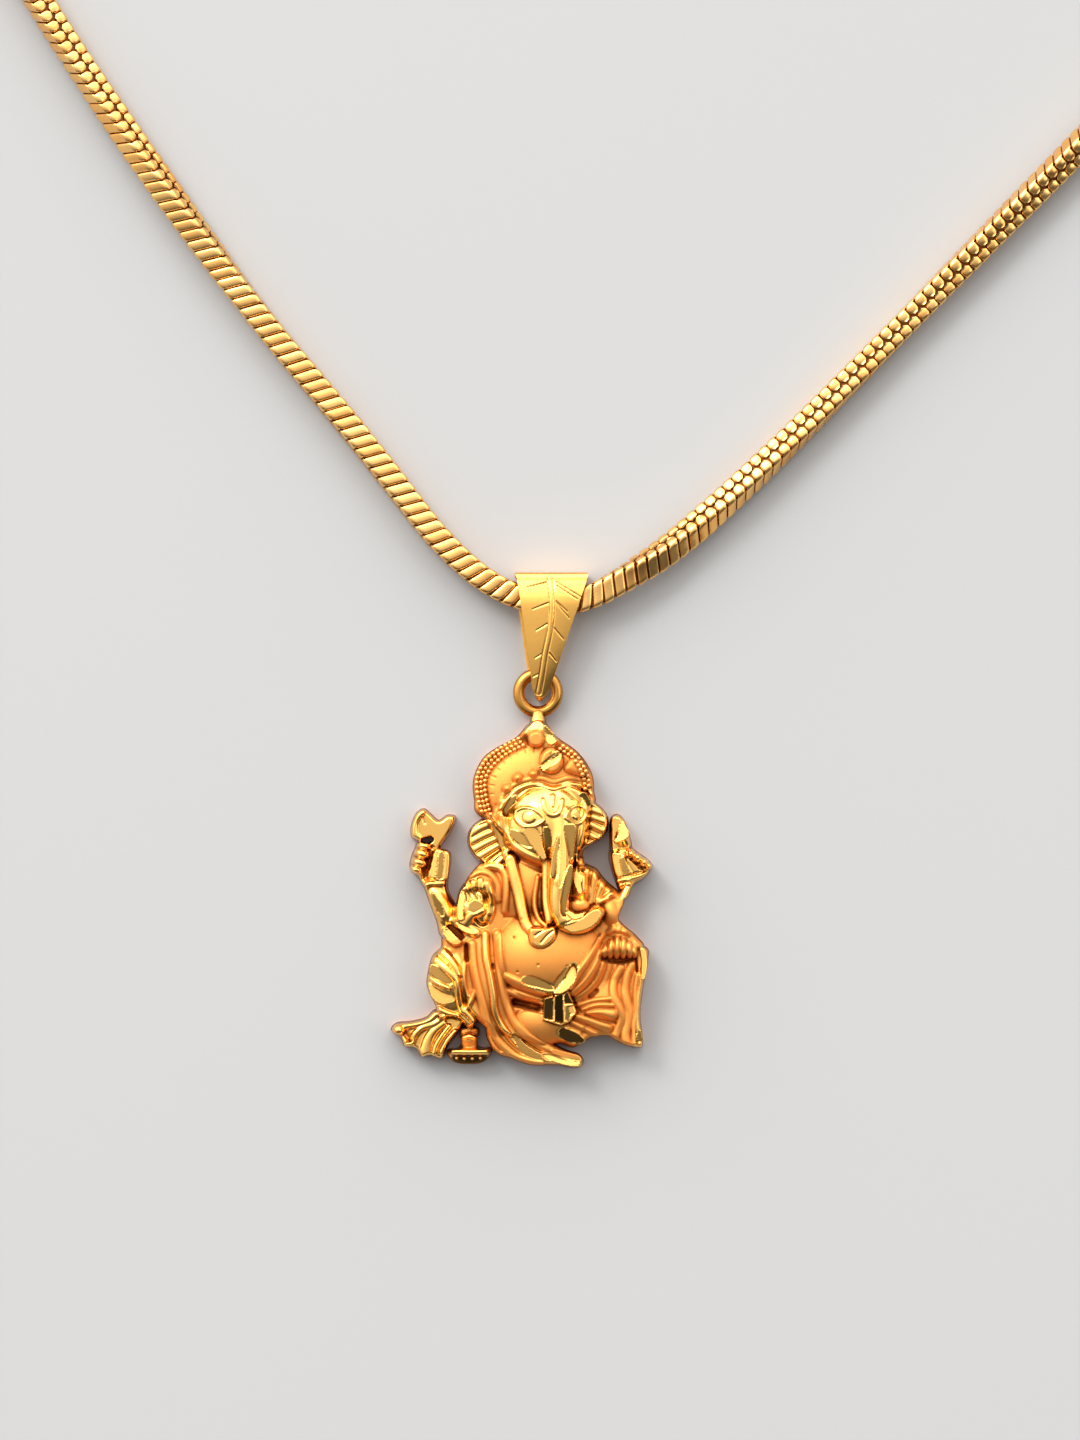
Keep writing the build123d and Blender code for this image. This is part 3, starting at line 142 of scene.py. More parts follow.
# Domes are the rounded masses: the middle, half widths and turn, then foot and top
Dome = namedtuple("Dome", "name x y half_x half_y turn foot top")
domes = [
    Dome("crown_cap", 28.4, 55.4, 9.2, 8.9, 0, 0.38, 0.56),
    Dome("finial", 29.4, 67.4, 2.1, 2.4, 0, 0.20, 0.48),
    Dome("chest", 30.0, 36.0, 11.0, 8.5, 0, 0.34, 0.64),
    Dome("right_breast", 37.3, 36.6, 2.4, 4.4, 12, 0.44, 0.70),
    Dome("left_shoulder", 18.9, 36.2, 4.6, 5.0, 0, 0.32, 0.58),
    Dome("belly", 31.8, 22.6, 11.6, 9.8, -8, 0.34, 0.88),
    Dome("knee", 45.2, 24.5, 4.1, 2.5, -4, 0.34, 0.60),
    Dome("hand_on_knee", 45.6, 27.5, 3.1, 2.3, -14, 0.36, 0.59),
    Dome("forearm_right", 43.9, 31.2, 2.2, 3.4, 14, 0.36, 0.62),
    Dome("left_forearm", 10.2, 32.4, 2.3, 5.4, 24, 0.24, 0.52),
    Dome("open_palm", 16.9, 32.4, 4.2, 5.8, -12, 0.30, 0.58),
    Dome("goad_blade", 46.0, 47.0, 1.8, 3.8, 12, 0.20, 0.44),
    Dome("left_haunch", 12.0, 18.0, 4.8, 7.2, 0, 0.26, 0.58),
    Dome("shawl_fall", 19.6, 18.0, 4.6, 12.5, 10, 0.26, 0.60),
    Dome("lap", 30.4, 9.8, 6.4, 5.0, -14, 0.30, 0.64),
    Dome("right_thigh", 42.0, 12.5, 7.4, 7.4, 0, 0.24, 0.56),
    Dome("head", 31.0, 48.0, 8.6, 9.4, -6, 0.40, 0.84),
]

# Limbs stand on the grounds: half widths and crest heights at both ends of a line, and how far
# the flanks drop below the crest
Limb = namedtuple("Limb", "name width_in width_out crest_in crest_out drop line")
limbs = [
    Limb("right_upper_arm", 1.2, 1.3, 0.46, 0.56, 0.18, [(47.6, 37.0), (46.4, 34.4), (45.0, 31.0)]),
    Limb("pedestal_disc", 0.85, 0.85, 0.44, 0.44, 0.18, [(12.6, 3.5), (15.8, 3.45), (19.0, 3.5)]),
    Limb("pedestal_neck", 1.7, 1.8, 0.36, 0.40, 0.12, [(15.8, 4.6), (15.7, 5.6)]),
    Limb("ring_neck", 2.0, 1.3, 0.36, 0.31, 0.10, [(29.3, 67.2), (29.4, 70.9)]),
]

# Straps and the trunk lie over everything else
front_limbs = [
    Limb("left_strap", 1.15, 0.95, 0.66, 0.84, 0.05,
         [(23.9, 41.8), (24.6, 39.0), (25.6, 35.0), (26.2, 32.0), (27.0, 29.2), (28.0, 27.8)]),
    Limb("inner_strap", 0.5, 0.5, 0.70, 0.82, 0.08,
         [(29.3, 38.4), (28.7, 33.4), (29.5, 30.2), (31.0, 28.7)]),
    Limb("middle_band", 0.8, 0.7, 0.70, 0.86, 0.06, [(31.0, 42.4), (30.9, 37.0), (31.0, 33.0), (31.6, 29.8)]),
    Limb("trunk", 3.3, 2.4, 0.84, 1.00, 0.34, [(33.8, 50.4), (34.0, 45.6), (33.9, 41.0), (33.7, 37.6)]),
    Limb("trunk_lower", 2.4, 2.0, 1.00, 0.98, 0.30,
         [(33.7, 37.6), (33.4, 34.4), (33.6, 31.6), (34.6, 29.9)]),
    Limb("trunk_curl", 2.2, 1.5, 0.98, 0.92, 0.22,
         [(34.6, 29.9), (36.4, 29.0), (38.6, 29.2), (40.2, 30.2), (41.1, 31.3)]),
]

# Folds follow the ground below them: half widths and rises at both ends of a line
Fold = namedtuple("Fold", "name width_in width_out rise_in rise_out line")
folds = [
    Fold("brow_cord", 0.55, 0.55, 0.048, 0.048,
         [(22.0, 52.0), (24.0, 54.8), (27.0, 56.5), (30.0, 56.8), (32.5, 56.1), (35.5, 56.9), (38.2, 56.4),
          (40.3, 55.0)]),
    Fold("brow_cord_upper", 0.6, 0.6, 0.045, 0.045,
         [(21.4, 53.2), (23.6, 56.0), (27.0, 57.7), (30.2, 58.0), (32.6, 57.3), (35.6, 58.1), (38.2, 57.6),
          (40.2, 56.4)]),
    Fold("left_ear_rim", 0.45, 0.45, 0.042, 0.042,
         [(19.2, 49.8), (17.0, 48.8), (15.9, 47.0), (15.8, 44.8), (16.9, 42.7), (19.2, 41.1), (22.4, 40.5)]),
    Fold("left_ear_root", 1.0, 0.9, 0.10, 0.06, [(19.6, 50.4), (20.8, 48.4), (22.1, 45.8), (23.4, 41.8)]),
    Fold("left_ear_rib_1", 0.7, 0.5, 0.03, 0.02, [(16.1, 46.9), (18.0, 48.1), (20.0, 48.9)]),
    Fold("left_ear_rib_2", 0.75, 0.5, 0.035, 0.03, [(16.1, 45.3), (18.6, 46.6), (20.8, 47.5)]),
    Fold("left_ear_rib_3", 0.75, 0.5, 0.035, 0.03, [(16.6, 43.7), (19.2, 45.1), (21.6, 46.2)]),
    Fold("left_ear_rib_4", 0.75, 0.5, 0.035, 0.03, [(17.7, 42.3), (20.0, 43.7), (22.2, 45.0)]),
    Fold("left_ear_rib_5", 0.7, 0.45, 0.035, 0.03, [(19.3, 41.3), (21.0, 42.6), (22.7, 43.9)]),
    Fold("left_ear_rib_6", 0.6, 0.4, 0.035, 0.03, [(21.2, 40.9), (22.3, 42.0), (23.0, 42.8)]),
    Fold("right_ear_rim", 0.45, 0.45, 0.042, 0.042,
         [(40.0, 53.2), (42.5, 51.3), (43.0, 48.6), (41.9, 46.1), (39.0, 44.6)]),
    Fold("right_ear_root", 0.8, 0.8, 0.05, 0.05, [(38.9, 52.8), (38.6, 48.6), (38.0, 44.6)]),
    Fold("right_ear_rib_1", 0.6, 0.6, 0.036, 0.036, [(39.9, 51.8), (41.8, 51.1)]),
    Fold("right_ear_rib_2", 0.62, 0.62, 0.036, 0.036, [(40.0, 50.3), (42.5, 49.4)]),
    Fold("right_ear_rib_3", 0.62, 0.62, 0.036, 0.036, [(39.8, 48.8), (42.4, 47.5)]),
    Fold("right_ear_rib_4", 0.6, 0.6, 0.036, 0.036, [(39.4, 46.9), (41.2, 45.9)]),
    Fold("cheek_band", 0.8, 0.7, 0.06, 0.048,
         [(22.3, 50.6), (22.6, 47.9), (24.0, 45.0), (26.4, 43.2), (29.4, 41.8)]),
    Fold("axe_bit", 0.8, 0.7, 0.03, 0.03, [(6.2, 51.3), (4.9, 49.6), (4.7, 47.2), (5.6, 46.0)]),
    Fold("upper_bangle_left", 0.6, 0.6, 0.054, 0.054, [(6.8, 36.0), (7.6, 36.9), (9.4, 37.0), (11.5, 37.2)]),
    Fold("open_hand_edge_left", 0.9, 0.8, 0.06, 0.06, [(13.5, 29.2), (13.7, 33.2), (14.5, 36.0)]),
    Fold("open_hand_finger_1", 0.6, 0.75, 0.02, 0.05, [(15.8, 33.4), (15.5, 35.0), (15.0, 36.6)]),
    Fold("open_hand_finger_2", 0.6, 0.75, 0.03, 0.05, [(16.8, 32.8), (16.7, 35.0), (16.4, 37.2)]),
    Fold("open_hand_finger_3", 0.6, 0.75, 0.03, 0.05, [(18.0, 33.0), (18.0, 35.2), (17.9, 37.6)]),
    Fold("open_hand_edge_right", 0.8, 0.8, 0.05, 0.05, [(19.4, 37.0), (20.1, 34.6), (20.2, 31.8), (19.4, 29.8)]),
    Fold("open_hand_ball", 1.1, 0.9, 0.05, 0.04, [(15.0, 29.2), (16.6, 31.0), (18.4, 31.6)]),
    Fold("open_hand_cuff", 1.1, 1.0, 0.05, 0.05, [(12.8, 29.4), (14.8, 28.2), (17.0, 27.2)]),
    Fold("shoulder_arc_inner", 0.7, 0.6, 0.054, 0.054,
         [(15.8, 38.6), (17.8, 39.5), (20.0, 38.9), (21.4, 36.8), (21.5, 33.8)]),
    Fold("shoulder_arc_outer", 0.75, 0.7, 0.06, 0.054,
         [(17.6, 40.7), (20.6, 40.4), (22.6, 39.4), (23.1, 36.4), (22.8, 31.6)]),
    Fold("right_shoulder_fold", 0.8, 0.6, 0.06, 0.054, [(41.0, 39.3), (40.3, 36.2), (39.9, 33.2)]),
    Fold("right_shoulder_edge", 0.8, 0.6, 0.06, 0.054, [(42.6, 37.5), (41.7, 35.6), (41.0, 33.3)]),
    Fold("right_shoulder_inner", 0.7, 0.6, 0.054, 0.048, [(39.4, 40.6), (38.9, 38.4), (38.6, 35.6)]),
    Fold("right_cuff", 0.6, 0.6, 0.06, 0.048, [(44.1, 35.0), (42.6, 33.9), (41.1, 33.0)]),
    Fold("upper_bangle_right", 0.55, 0.55, 0.06, 0.06, [(45.0, 37.5), (47.2, 37.9), (49.2, 38.4), (51.0, 39.0)]),
    Fold("haunch_fold_upper", 0.8, 0.7, 0.06, 0.054,
         [(9.5, 24.3), (11.4, 22.6), (12.9, 20.6), (13.7, 19.0)]),
    Fold("haunch_fold_middle", 0.9, 0.7, 0.06, 0.054, [(8.4, 22.3), (10.5, 20.6), (12.3, 18.9), (13.4, 17.6)]),
    Fold("haunch_fold_lower", 0.5, 0.45, 0.05, 0.045, [(7.6, 18.4), (9.4, 17.2), (11.6, 16.2)]),
    Fold("hanging_fold_outer", 0.65, 0.6, 0.06, 0.054,
         [(13.3, 17.6), (13.6, 15.0), (14.2, 12.0), (15.2, 11.2), (16.4, 9.8), (17.0, 8.0)]),
    Fold("hanging_fold_inner", 0.6, 0.55, 0.054, 0.054, [(16.8, 15.6), (15.9, 13.4), (14.9, 11.7)]),
    Fold("ankle_cuff", 0.6, 0.6, 0.054, 0.054, [(9.2, 12.2), (11.2, 11.3), (13.4, 10.5)]),
    Fold("fan_fold_1", 0.75, 0.95, 0.06, 0.06, [(9.1, 11.0), (7.8, 9.9), (5.6, 9.2), (3.3, 8.8), (1.6, 8.0)]),
    Fold("fan_fold_2", 0.7, 0.7, 0.06, 0.06,
         [(10.6, 10.4), (8.8, 9.1), (6.4, 8.3), (4.9, 7.0), (4.3, 5.6), (3.3, 4.7)]),
    Fold("fan_fold_3", 0.7, 1.2, 0.055, 0.05,
         [(10.6, 9.2), (8.6, 7.6), (7.5, 5.8), (6.8, 3.2)]),
    Fold("fan_fold_4", 0.5, 0.55, 0.054, 0.054, [(11.7, 8.6), (10.4, 6.9), (9.1, 4.8), (8.6, 3.0)]),
    Fold("fan_fold_5", 0.5, 0.6, 0.054, 0.054, [(12.9, 7.6), (11.3, 5.6), (10.2, 3.4)]),
    Fold("pedestal_arch", 0.6, 0.6, 0.07, 0.07, [(14.1, 6.3), (15.7, 6.7), (17.3, 6.3)]),
    Fold("shawl_fold_a", 0.9, 0.8, 0.078, 0.06,
         [(16.2, 25.0), (16.5, 21.0), (17.3, 17.0), (18.5, 12.5), (19.5, 9.0), (21.0, 6.5), (23.0, 4.3),
          (25.6, 2.4), (30.0, 1.3)]),
    Fold("shawl_fold_b", 0.8, 0.75, 0.078, 0.06,
         [(18.9, 27.0), (19.1, 22.5), (19.8, 19.0), (20.5, 15.0), (20.8, 12.0), (21.8, 9.5), (23.6, 6.8),
          (26.6, 4.0), (31.5, 1.9)]),
    Fold("shawl_fold_c", 0.95, 0.85, 0.084, 0.06,
         [(21.3, 27.0), (21.6, 22.0), (22.4, 17.0), (23.3, 13.0), (24.8, 9.5), (27.0, 6.8), (29.5, 5.0),
          (32.0, 4.0), (37.6, 2.4)]),
    Fold("shawl_hem", 0.7, 0.7, 0.054, 0.054, [(30.5, 2.8), (34.4, 1.9), (37.8, 0.9)]),
    Fold("sash_upper", 1.0, 1.0, 0.078, 0.078, [(22.8, 18.4), (26.0, 17.1), (30.0, 15.9), (32.6, 15.3)]),
    Fold("sash_lower", 0.75, 0.65, 0.072, 0.072, [(22.7, 16.1), (25.5, 14.9), (28.0, 14.1), (30.8, 13.4)]),
    Fold("thigh_fold_1", 0.55, 0.5, 0.05, 0.045, [(37.4, 12.9), (40.6, 13.9), (44.0, 14.2)]),
    Fold("thigh_fold_2", 0.45, 0.45, 0.045, 0.04, [(38.2, 12.0), (41.0, 12.9), (44.6, 12.9)]),
    Fold("thigh_fold_3", 0.3, 1.15, 0.03, 0.08, [(39.2, 11.3), (41.4, 11.5), (43.0, 11.3), (44.2, 11.0)]),
    Fold("thigh_fold_4", 0.7, 0.85, 0.055, 0.055, [(36.9, 10.6), (39.4, 9.8), (41.6, 8.9), (43.4, 8.3)]),
    Fold("thigh_fold_5", 0.55, 0.6, 0.048, 0.042, [(36.2, 9.4), (38.6, 8.2), (40.8, 7.0)]),
    Fold("skirt_fold_1", 0.85, 0.9, 0.06, 0.06,
         [(45.9, 20.3), (44.5, 17.8), (44.4, 14.9), (45.6, 12.4), (46.2, 10.4), (45.6, 8.4), (44.5, 6.2)]),
    Fold("skirt_fold_2", 0.8, 0.95, 0.06, 0.06,
         [(48.1, 20.9), (47.1, 18.6), (46.7, 15.8), (47.2, 13.4), (47.6, 11.4), (47.2, 9.0), (46.8, 6.8), (47.1, 4.8)]),
    Fold("skirt_fold_3", 0.5, 0.5, 0.05, 0.05,
         [(49.2, 18.8), (48.8, 16.2), (48.8, 13.4), (48.9, 11.0), (48.5, 8.6), (48.5, 5.0)]),
    Fold("skirt_fold_4", 0.65, 0.6, 0.06, 0.06,
         [(50.3, 23.8), (50.6, 21.7), (50.2, 18.1), (49.8, 14.8), (49.5, 11.0), (49.6, 7.9), (50.0, 4.8)]),
    Fold("belly_fold_1", 0.65, 0.65, 0.06, 0.06, [(35.8, 16.5), (37.5, 19.5), (39.4, 22.2), (42.0, 26.5)]),
    Fold("belly_fold_2", 0.7, 0.65, 0.06, 0.06, [(36.5, 15.2), (39.0, 17.8), (41.0, 21.0), (41.9, 23.5)]),
    Fold("belly_fold_3", 0.65, 0.6, 0.06, 0.06, [(37.0, 13.9), (39.5, 15.6), (41.5, 18.0), (42.8, 21.5)]),
    Fold("hand_back_1", 0.75, 0.6, 0.035, 0.03, [(43.6, 27.3), (44.4, 28.4)]),
    Fold("hand_back_2", 0.75, 0.6, 0.035, 0.03, [(45.3, 27.9), (45.6, 29.0)]),
    Fold("hand_back_3", 0.7, 0.6, 0.035, 0.03, [(46.8, 27.5), (47.3, 28.3)]),
]

# Slabs are flat-topped items set on the folds, given as the plates are
slabs = [
    Plate("left_palm", 0.40, 0.49, 0.5,
          [(8.5, 43.0), (9.0, 43.8), (10.2, 43.9), (11.6, 43.4), (12.0, 42.4), (11.9, 40.0), (11.6, 37.8),
           (9.6, 37.4), (7.4, 38.4), (7.9, 40.6)]),
    Plate("cuff_block", 0.40, 0.54, 0.4,
          [(10.4, 27.9), (10.6, 28.2), (11.3, 28.4), (11.6, 28.2), (14.4, 25.9), (14.5, 25.5), (14.2, 24.8),
           (13.9, 24.6), (12.9, 24.4), (12.6, 24.5), (10.3, 26.6), (10.2, 26.9)]),
    Plate("right_palm", 0.34, 0.47, 0.8,
          [(43.9, 43.2), (44.2, 40.4), (45.2, 38.0), (48.4, 38.6), (50.6, 39.4), (49.4, 41.2), (47.6, 42.4),
           (46.0, 43.4)]),
    Plate("crown_jewel", 0.50, 0.62, 0.8,
          [(29.6, 61.3), (30.3, 63.2), (31.9, 64.1), (33.6, 63.2), (34.4, 61.4), (33.8, 59.6), (32.0, 58.8),
           (30.3, 59.5)]),
    Plate("crown_petal", 0.46, 0.53, 1.3,
          [(34.4, 59.6), (35.2, 61.2), (36.6, 62.2), (38.0, 61.4), (39.0, 59.8), (39.2, 58.7), (38.2, 58.3),
           (36.2, 58.8)]),
    Plate("finial_drop", 0.42, 0.53, 0.7,
          [(27.3, 65.8), (27.8, 67.1), (29.0, 67.5), (30.2, 67.1), (30.7, 65.8), (30.2, 64.5), (29.0, 64.1),
           (27.8, 64.5)]),
    Plate("tassel_knob", 0.78, 0.94, 0.5,
          [(27.6, 28.0), (28.5, 28.5), (31.0, 28.4), (32.5, 28.7), (33.1, 27.6), (32.8, 26.0), (31.2, 24.6),
           (29.8, 24.3), (28.4, 24.7), (27.7, 25.8)]),
    Plate("buckle", 0.60, 0.78, 0.2,
          [(30.5, 10.0), (30.5, 10.2), (30.6, 14.2), (30.7, 14.3), (32.2, 14.8), (32.4, 14.8), (32.8, 14.5),
           (33.0, 14.5), (35.3, 15.9), (35.5, 15.8), (37.1, 11.7), (37.1, 11.5), (35.7, 9.6), (35.5, 9.5),
           (34.0, 8.9), (33.8, 8.9)]),
]

# Studs are small round items set on the folds
studs = [
    Dome("earring_drop", 37.9, 41.0, 0.75, 1.0, 0, 0.60, 0.70),
    Dome("axe_finger_1", 6.7, 44.5, 1.3, 0.8, -14, 0.44, 0.54),
    Dome("axe_finger_2", 6.3, 42.95, 1.55, 1.0, -20, 0.44, 0.59),
    Dome("axe_finger_3", 5.8, 41.25, 1.55, 1.0, -20, 0.44, 0.59),
    Dome("axe_finger_4", 5.2, 39.8, 1.35, 0.9, -18, 0.40, 0.54),
    Dome("knuckle_1", 47.9, 43.0, 0.95, 0.95, 0, 0.46, 0.64),
    Dome("knuckle_2", 49.2, 42.2, 1.0, 1.0, 0, 0.46, 0.65),
    Dome("knuckle_3", 50.5, 41.3, 0.95, 0.95, 0, 0.44, 0.62),
    Dome("knuckle_4", 51.5, 40.5, 0.75, 0.75, 0, 0.40, 0.56),
    Dome("fan_knob", 1.6, 7.8, 1.3, 1.25, 0, 0.30, 0.46),
    Dome("crown_bump_1", 22.2, 53.4, 1.2, 1.1, 30, 0.44, 0.60),
    Dome("crown_bump_2", 23.3, 56.0, 1.2, 1.1, 30, 0.46, 0.64),
    Dome("crown_bump_3", 25.4, 58.1, 1.2, 1.1, 20, 0.48, 0.66),
    Dome("crown_bump_4", 28.5, 58.9, 1.2, 1.0, 0, 0.48, 0.66),
    Dome("inner_curl", 37.4, 32.5, 2.3, 1.6, 0, 0.58, 0.66),
    Dome("skirt_lozenge", 36.0, 6.8, 3.1, 1.7, -24, 0.40, 0.54),
    Dome("knee_knuckle_1", 42.7, 23.7, 0.85, 1.5, -8, 0.48, 0.62),
    Dome("knee_knuckle_2", 43.85, 24.2, 0.85, 2.0, -4, 0.52, 0.68),
    Dome("knee_knuckle_3", 45.1, 24.5, 0.85, 2.3, 0, 0.54, 0.71),
    Dome("knee_knuckle_4", 46.35, 24.3, 0.85, 2.1, 0, 0.54, 0.70),
    Dome("knee_knuckle_5", 47.55, 24.0, 0.8, 1.8, 4, 0.50, 0.66),
    Dome("knee_knuckle_6", 48.55, 23.5, 0.65, 1.3, 8, 0.46, 0.60),
]

# Cuts are valleys and slots taken out of the surface, as shares of the depth
Cut = namedtuple("Cut", "name half_width depth line")
cuts = [
    Cut("bead_channel_left", 1.6, 0.06,
        [(19.2, 51.2), (18.3, 54.4), (18.2, 57.9), (19.9, 61.1), (23.0, 63.6), (26.4, 65.4)]),
    Cut("bead_channel_right", 1.2, 0.06, [(33.8, 64.4), (36.8, 62.2), (38.7, 58.8), (39.2, 55.6)]),
    Cut("beside_trunk_left", 0.8, 0.05, [(30.8, 48.2), (31.0, 44.6), (31.5, 41.6)]),
    Cut("throat", 0.9, 0.08, [(24.4, 42.9), (27.2, 41.4), (30.2, 40.0)]),
    Cut("open_hand_hollow", 1.6, 0.05, [(15.8, 34.2), (17.2, 34.8), (18.6, 34.0)]),
    Cut("open_hand_notch", 0.4, 0.06, [(16.9, 30.0), (18.1, 28.9), (19.2, 29.2), (19.7, 30.6)]),
    Cut("haft_shade", 0.8, 0.06, [(8.1, 43.9), (7.8, 41.2), (7.0, 38.2)]),
    Cut("under_knee", 0.8, 0.08, [(42.2, 22.4), (43.8, 21.9), (46.2, 21.8), (48.3, 22.4)]),
    Cut("under_sash", 1.0, 0.20, [(24.9, 13.4), (26.8, 12.9), (29.2, 12.4)]),
    Cut("side_hollow", 0.7, 0.12, [(15.2, 24.6), (15.3, 22.0)]),
    Cut("fan_hollow", 0.8, 0.06, [(2.9, 7.0), (3.8, 6.0)]),
    Cut("belly_hollow", 0.6, 0.05, [(41.0, 15.7), (39.7, 14.6)]),
    Cut("side_slit", 0.28, 0.08, [(48.9, 22.2), (49.1, 19.6)]),
    Cut("upper_arm_cleft", 0.8, 0.08, [(24.2, 42.8), (25.2, 41.8)]),
    Cut("foot_hollow_right", 0.6, 0.08, [(17.9, 5.4), (18.4, 4.8)]),
]

# Small work of the graver: rims, cords and creases, standing on the ground as folds do
fine_folds = [
    Fold("left_eye_rim", 0.32, 0.32, 0.03, 0.03,
         [(24.9, 51.5), (26.4, 52.2), (28.4, 51.9), (30.0, 50.9), (30.6, 49.8), (29.4, 48.9), (27.6, 48.3),
          (25.9, 48.9), (24.9, 50.1), (24.9, 51.5)]),
    Fold("right_eye_rim", 0.3, 0.3, 0.03, 0.03,
         [(34.9, 50.2), (35.7, 51.8), (37.2, 52.6), (38.6, 52.1), (39.1, 51.0), (38.4, 49.6), (36.8, 49.0),
          (34.9, 50.2)]),
    Fold("brow_mark", 0.5, 0.5, 0.03, 0.03,
         [(30.4, 53.7), (30.7, 52.2), (31.5, 51.1), (32.4, 50.8), (33.3, 51.1), (33.9, 52.2), (34.2, 53.6)]),
    Fold("brow_flame", 0.6, 0.3, 0.03, 0.02, [(32.3, 54.4), (32.3, 53.6), (32.4, 52.6)]),
    Fold("left_wrist_crease", 0.3, 0.3, 0.03, 0.03, [(45.2, 36.4), (46.4, 36.9), (47.8, 37.0)]),
    Fold("hanging_edge", 0.3, 0.3, 0.03, 0.03, [(14.9, 21.0), (14.8, 18.0), (15.4, 14.6)]),
]

# Bosses rise a little from the surface below them, or sink where the rise is negative
Boss = namedtuple("Boss", "name x y half_x half_y rise")
bosses = [
    Boss("left_pupil", 27.6, 50.4, 1.4, 1.3, 0.03), Boss("right_pupil", 37.3, 50.9, 1.2, 1.1, 0.025),
    Boss("belly_pit_1", 35.2, 20.6, 0.28, 0.28, -0.03), Boss("belly_pit_2", 29.4, 21.0, 0.24, 0.24, -0.02),
    Boss("belly_pit_3", 24.6, 26.4, 0.24, 0.24, -0.03), Boss("belly_pit_4", 25.4, 19.6, 0.26, 0.26, -0.03),
    Boss("fold_pit", 20.4, 20.4, 0.35, 0.8, -0.03),
    ]

# Fine cuts, made last: creases of the hands, the petals' lines in the crown and the knob's star
fine_cuts = [
    Cut("axe_dent", 0.25, 0.03, [(6.4, 50.4), (6.8, 49.0)]),
    Cut("palm_crease_1", 0.25, 0.02, [(9.6, 43.4), (9.3, 40.4), (8.9, 37.8)]),
    Cut("palm_crease_2", 0.25, 0.02, [(10.9, 43.3), (10.6, 40.2), (10.4, 38.0)]),
    Cut("open_crease_1", 0.3, 0.03, [(15.1, 35.6), (15.9, 34.2), (15.5, 33.0)]),
    Cut("open_crease_2", 0.3, 0.03, [(15.7, 37.2), (15.9, 35.6), (16.9, 34.3), (17.6, 33.4)]),
    Cut("open_crease_3", 0.3, 0.03, [(17.2, 37.6), (17.2, 35.8), (18.6, 34.6), (19.3, 32.4)]),
    Cut("right_palm_crease_1", 0.25, 0.02, [(45.9, 42.8), (45.8, 40.6), (46.4, 38.4)]),
    Cut("right_palm_crease_2", 0.25, 0.02, [(47.0, 42.2), (47.5, 40.8), (48.4, 39.2)]),
    Cut("right_palm_crease_3", 0.25, 0.02, [(48.4, 41.6), (49.2, 40.6), (49.8, 39.8)]),
    Cut("knob_line_1", 0.25, 0.02, [(28.8, 26.8), (30.6, 28.0)]),
    Cut("knob_line_2", 0.25, 0.02, [(30.0, 25.4), (31.2, 26.8), (32.4, 27.8)]),
    Cut("chest_step", 0.35, 0.03, [(22.8, 30.4), (24.6, 30.3), (26.0, 30.0)]),
    Cut("curl_line", 0.25, 0.03, [(34.9, 29.3), (36.2, 29.9), (37.6, 30.7), (39.0, 31.2)]),
    Cut("arm_crease", 0.3, 0.03, [(42.4, 33.0), (43.6, 33.8), (45.0, 34.2)]),
    Cut("knee_crease", 0.35, 0.02, [(42.4, 26.0), (43.6, 26.9), (45.4, 27.2), (47.0, 26.7), (48.5, 25.6)]),
    Cut("hem_crease", 0.3, 0.03, [(19.4, 8.4), (20.6, 5.6), (22.0, 3.6)]),
    Cut("lap_crease", 0.5, 0.03, [(25.0, 11.0), (26.6, 11.9), (28.6, 12.0), (30.2, 11.4)]),
    Cut("thigh_line", 0.4, 0.04, [(38.8, 10.9), (41.2, 10.1), (44.8, 9.3)]),
]
petal_middle, petal_inner, petal_outer = (28.4, 55.4), 7.9, 8.9
for turn in range(64, 190, 12):
    ray = np.array([math.cos(math.radians(turn)), math.sin(math.radians(turn))])
    fine_cuts.append(Cut("crown_petal_line", 0.22, 0.02,
                         [tuple(petal_middle + ray * petal_inner), tuple(petal_middle + ray * petal_outer)]))
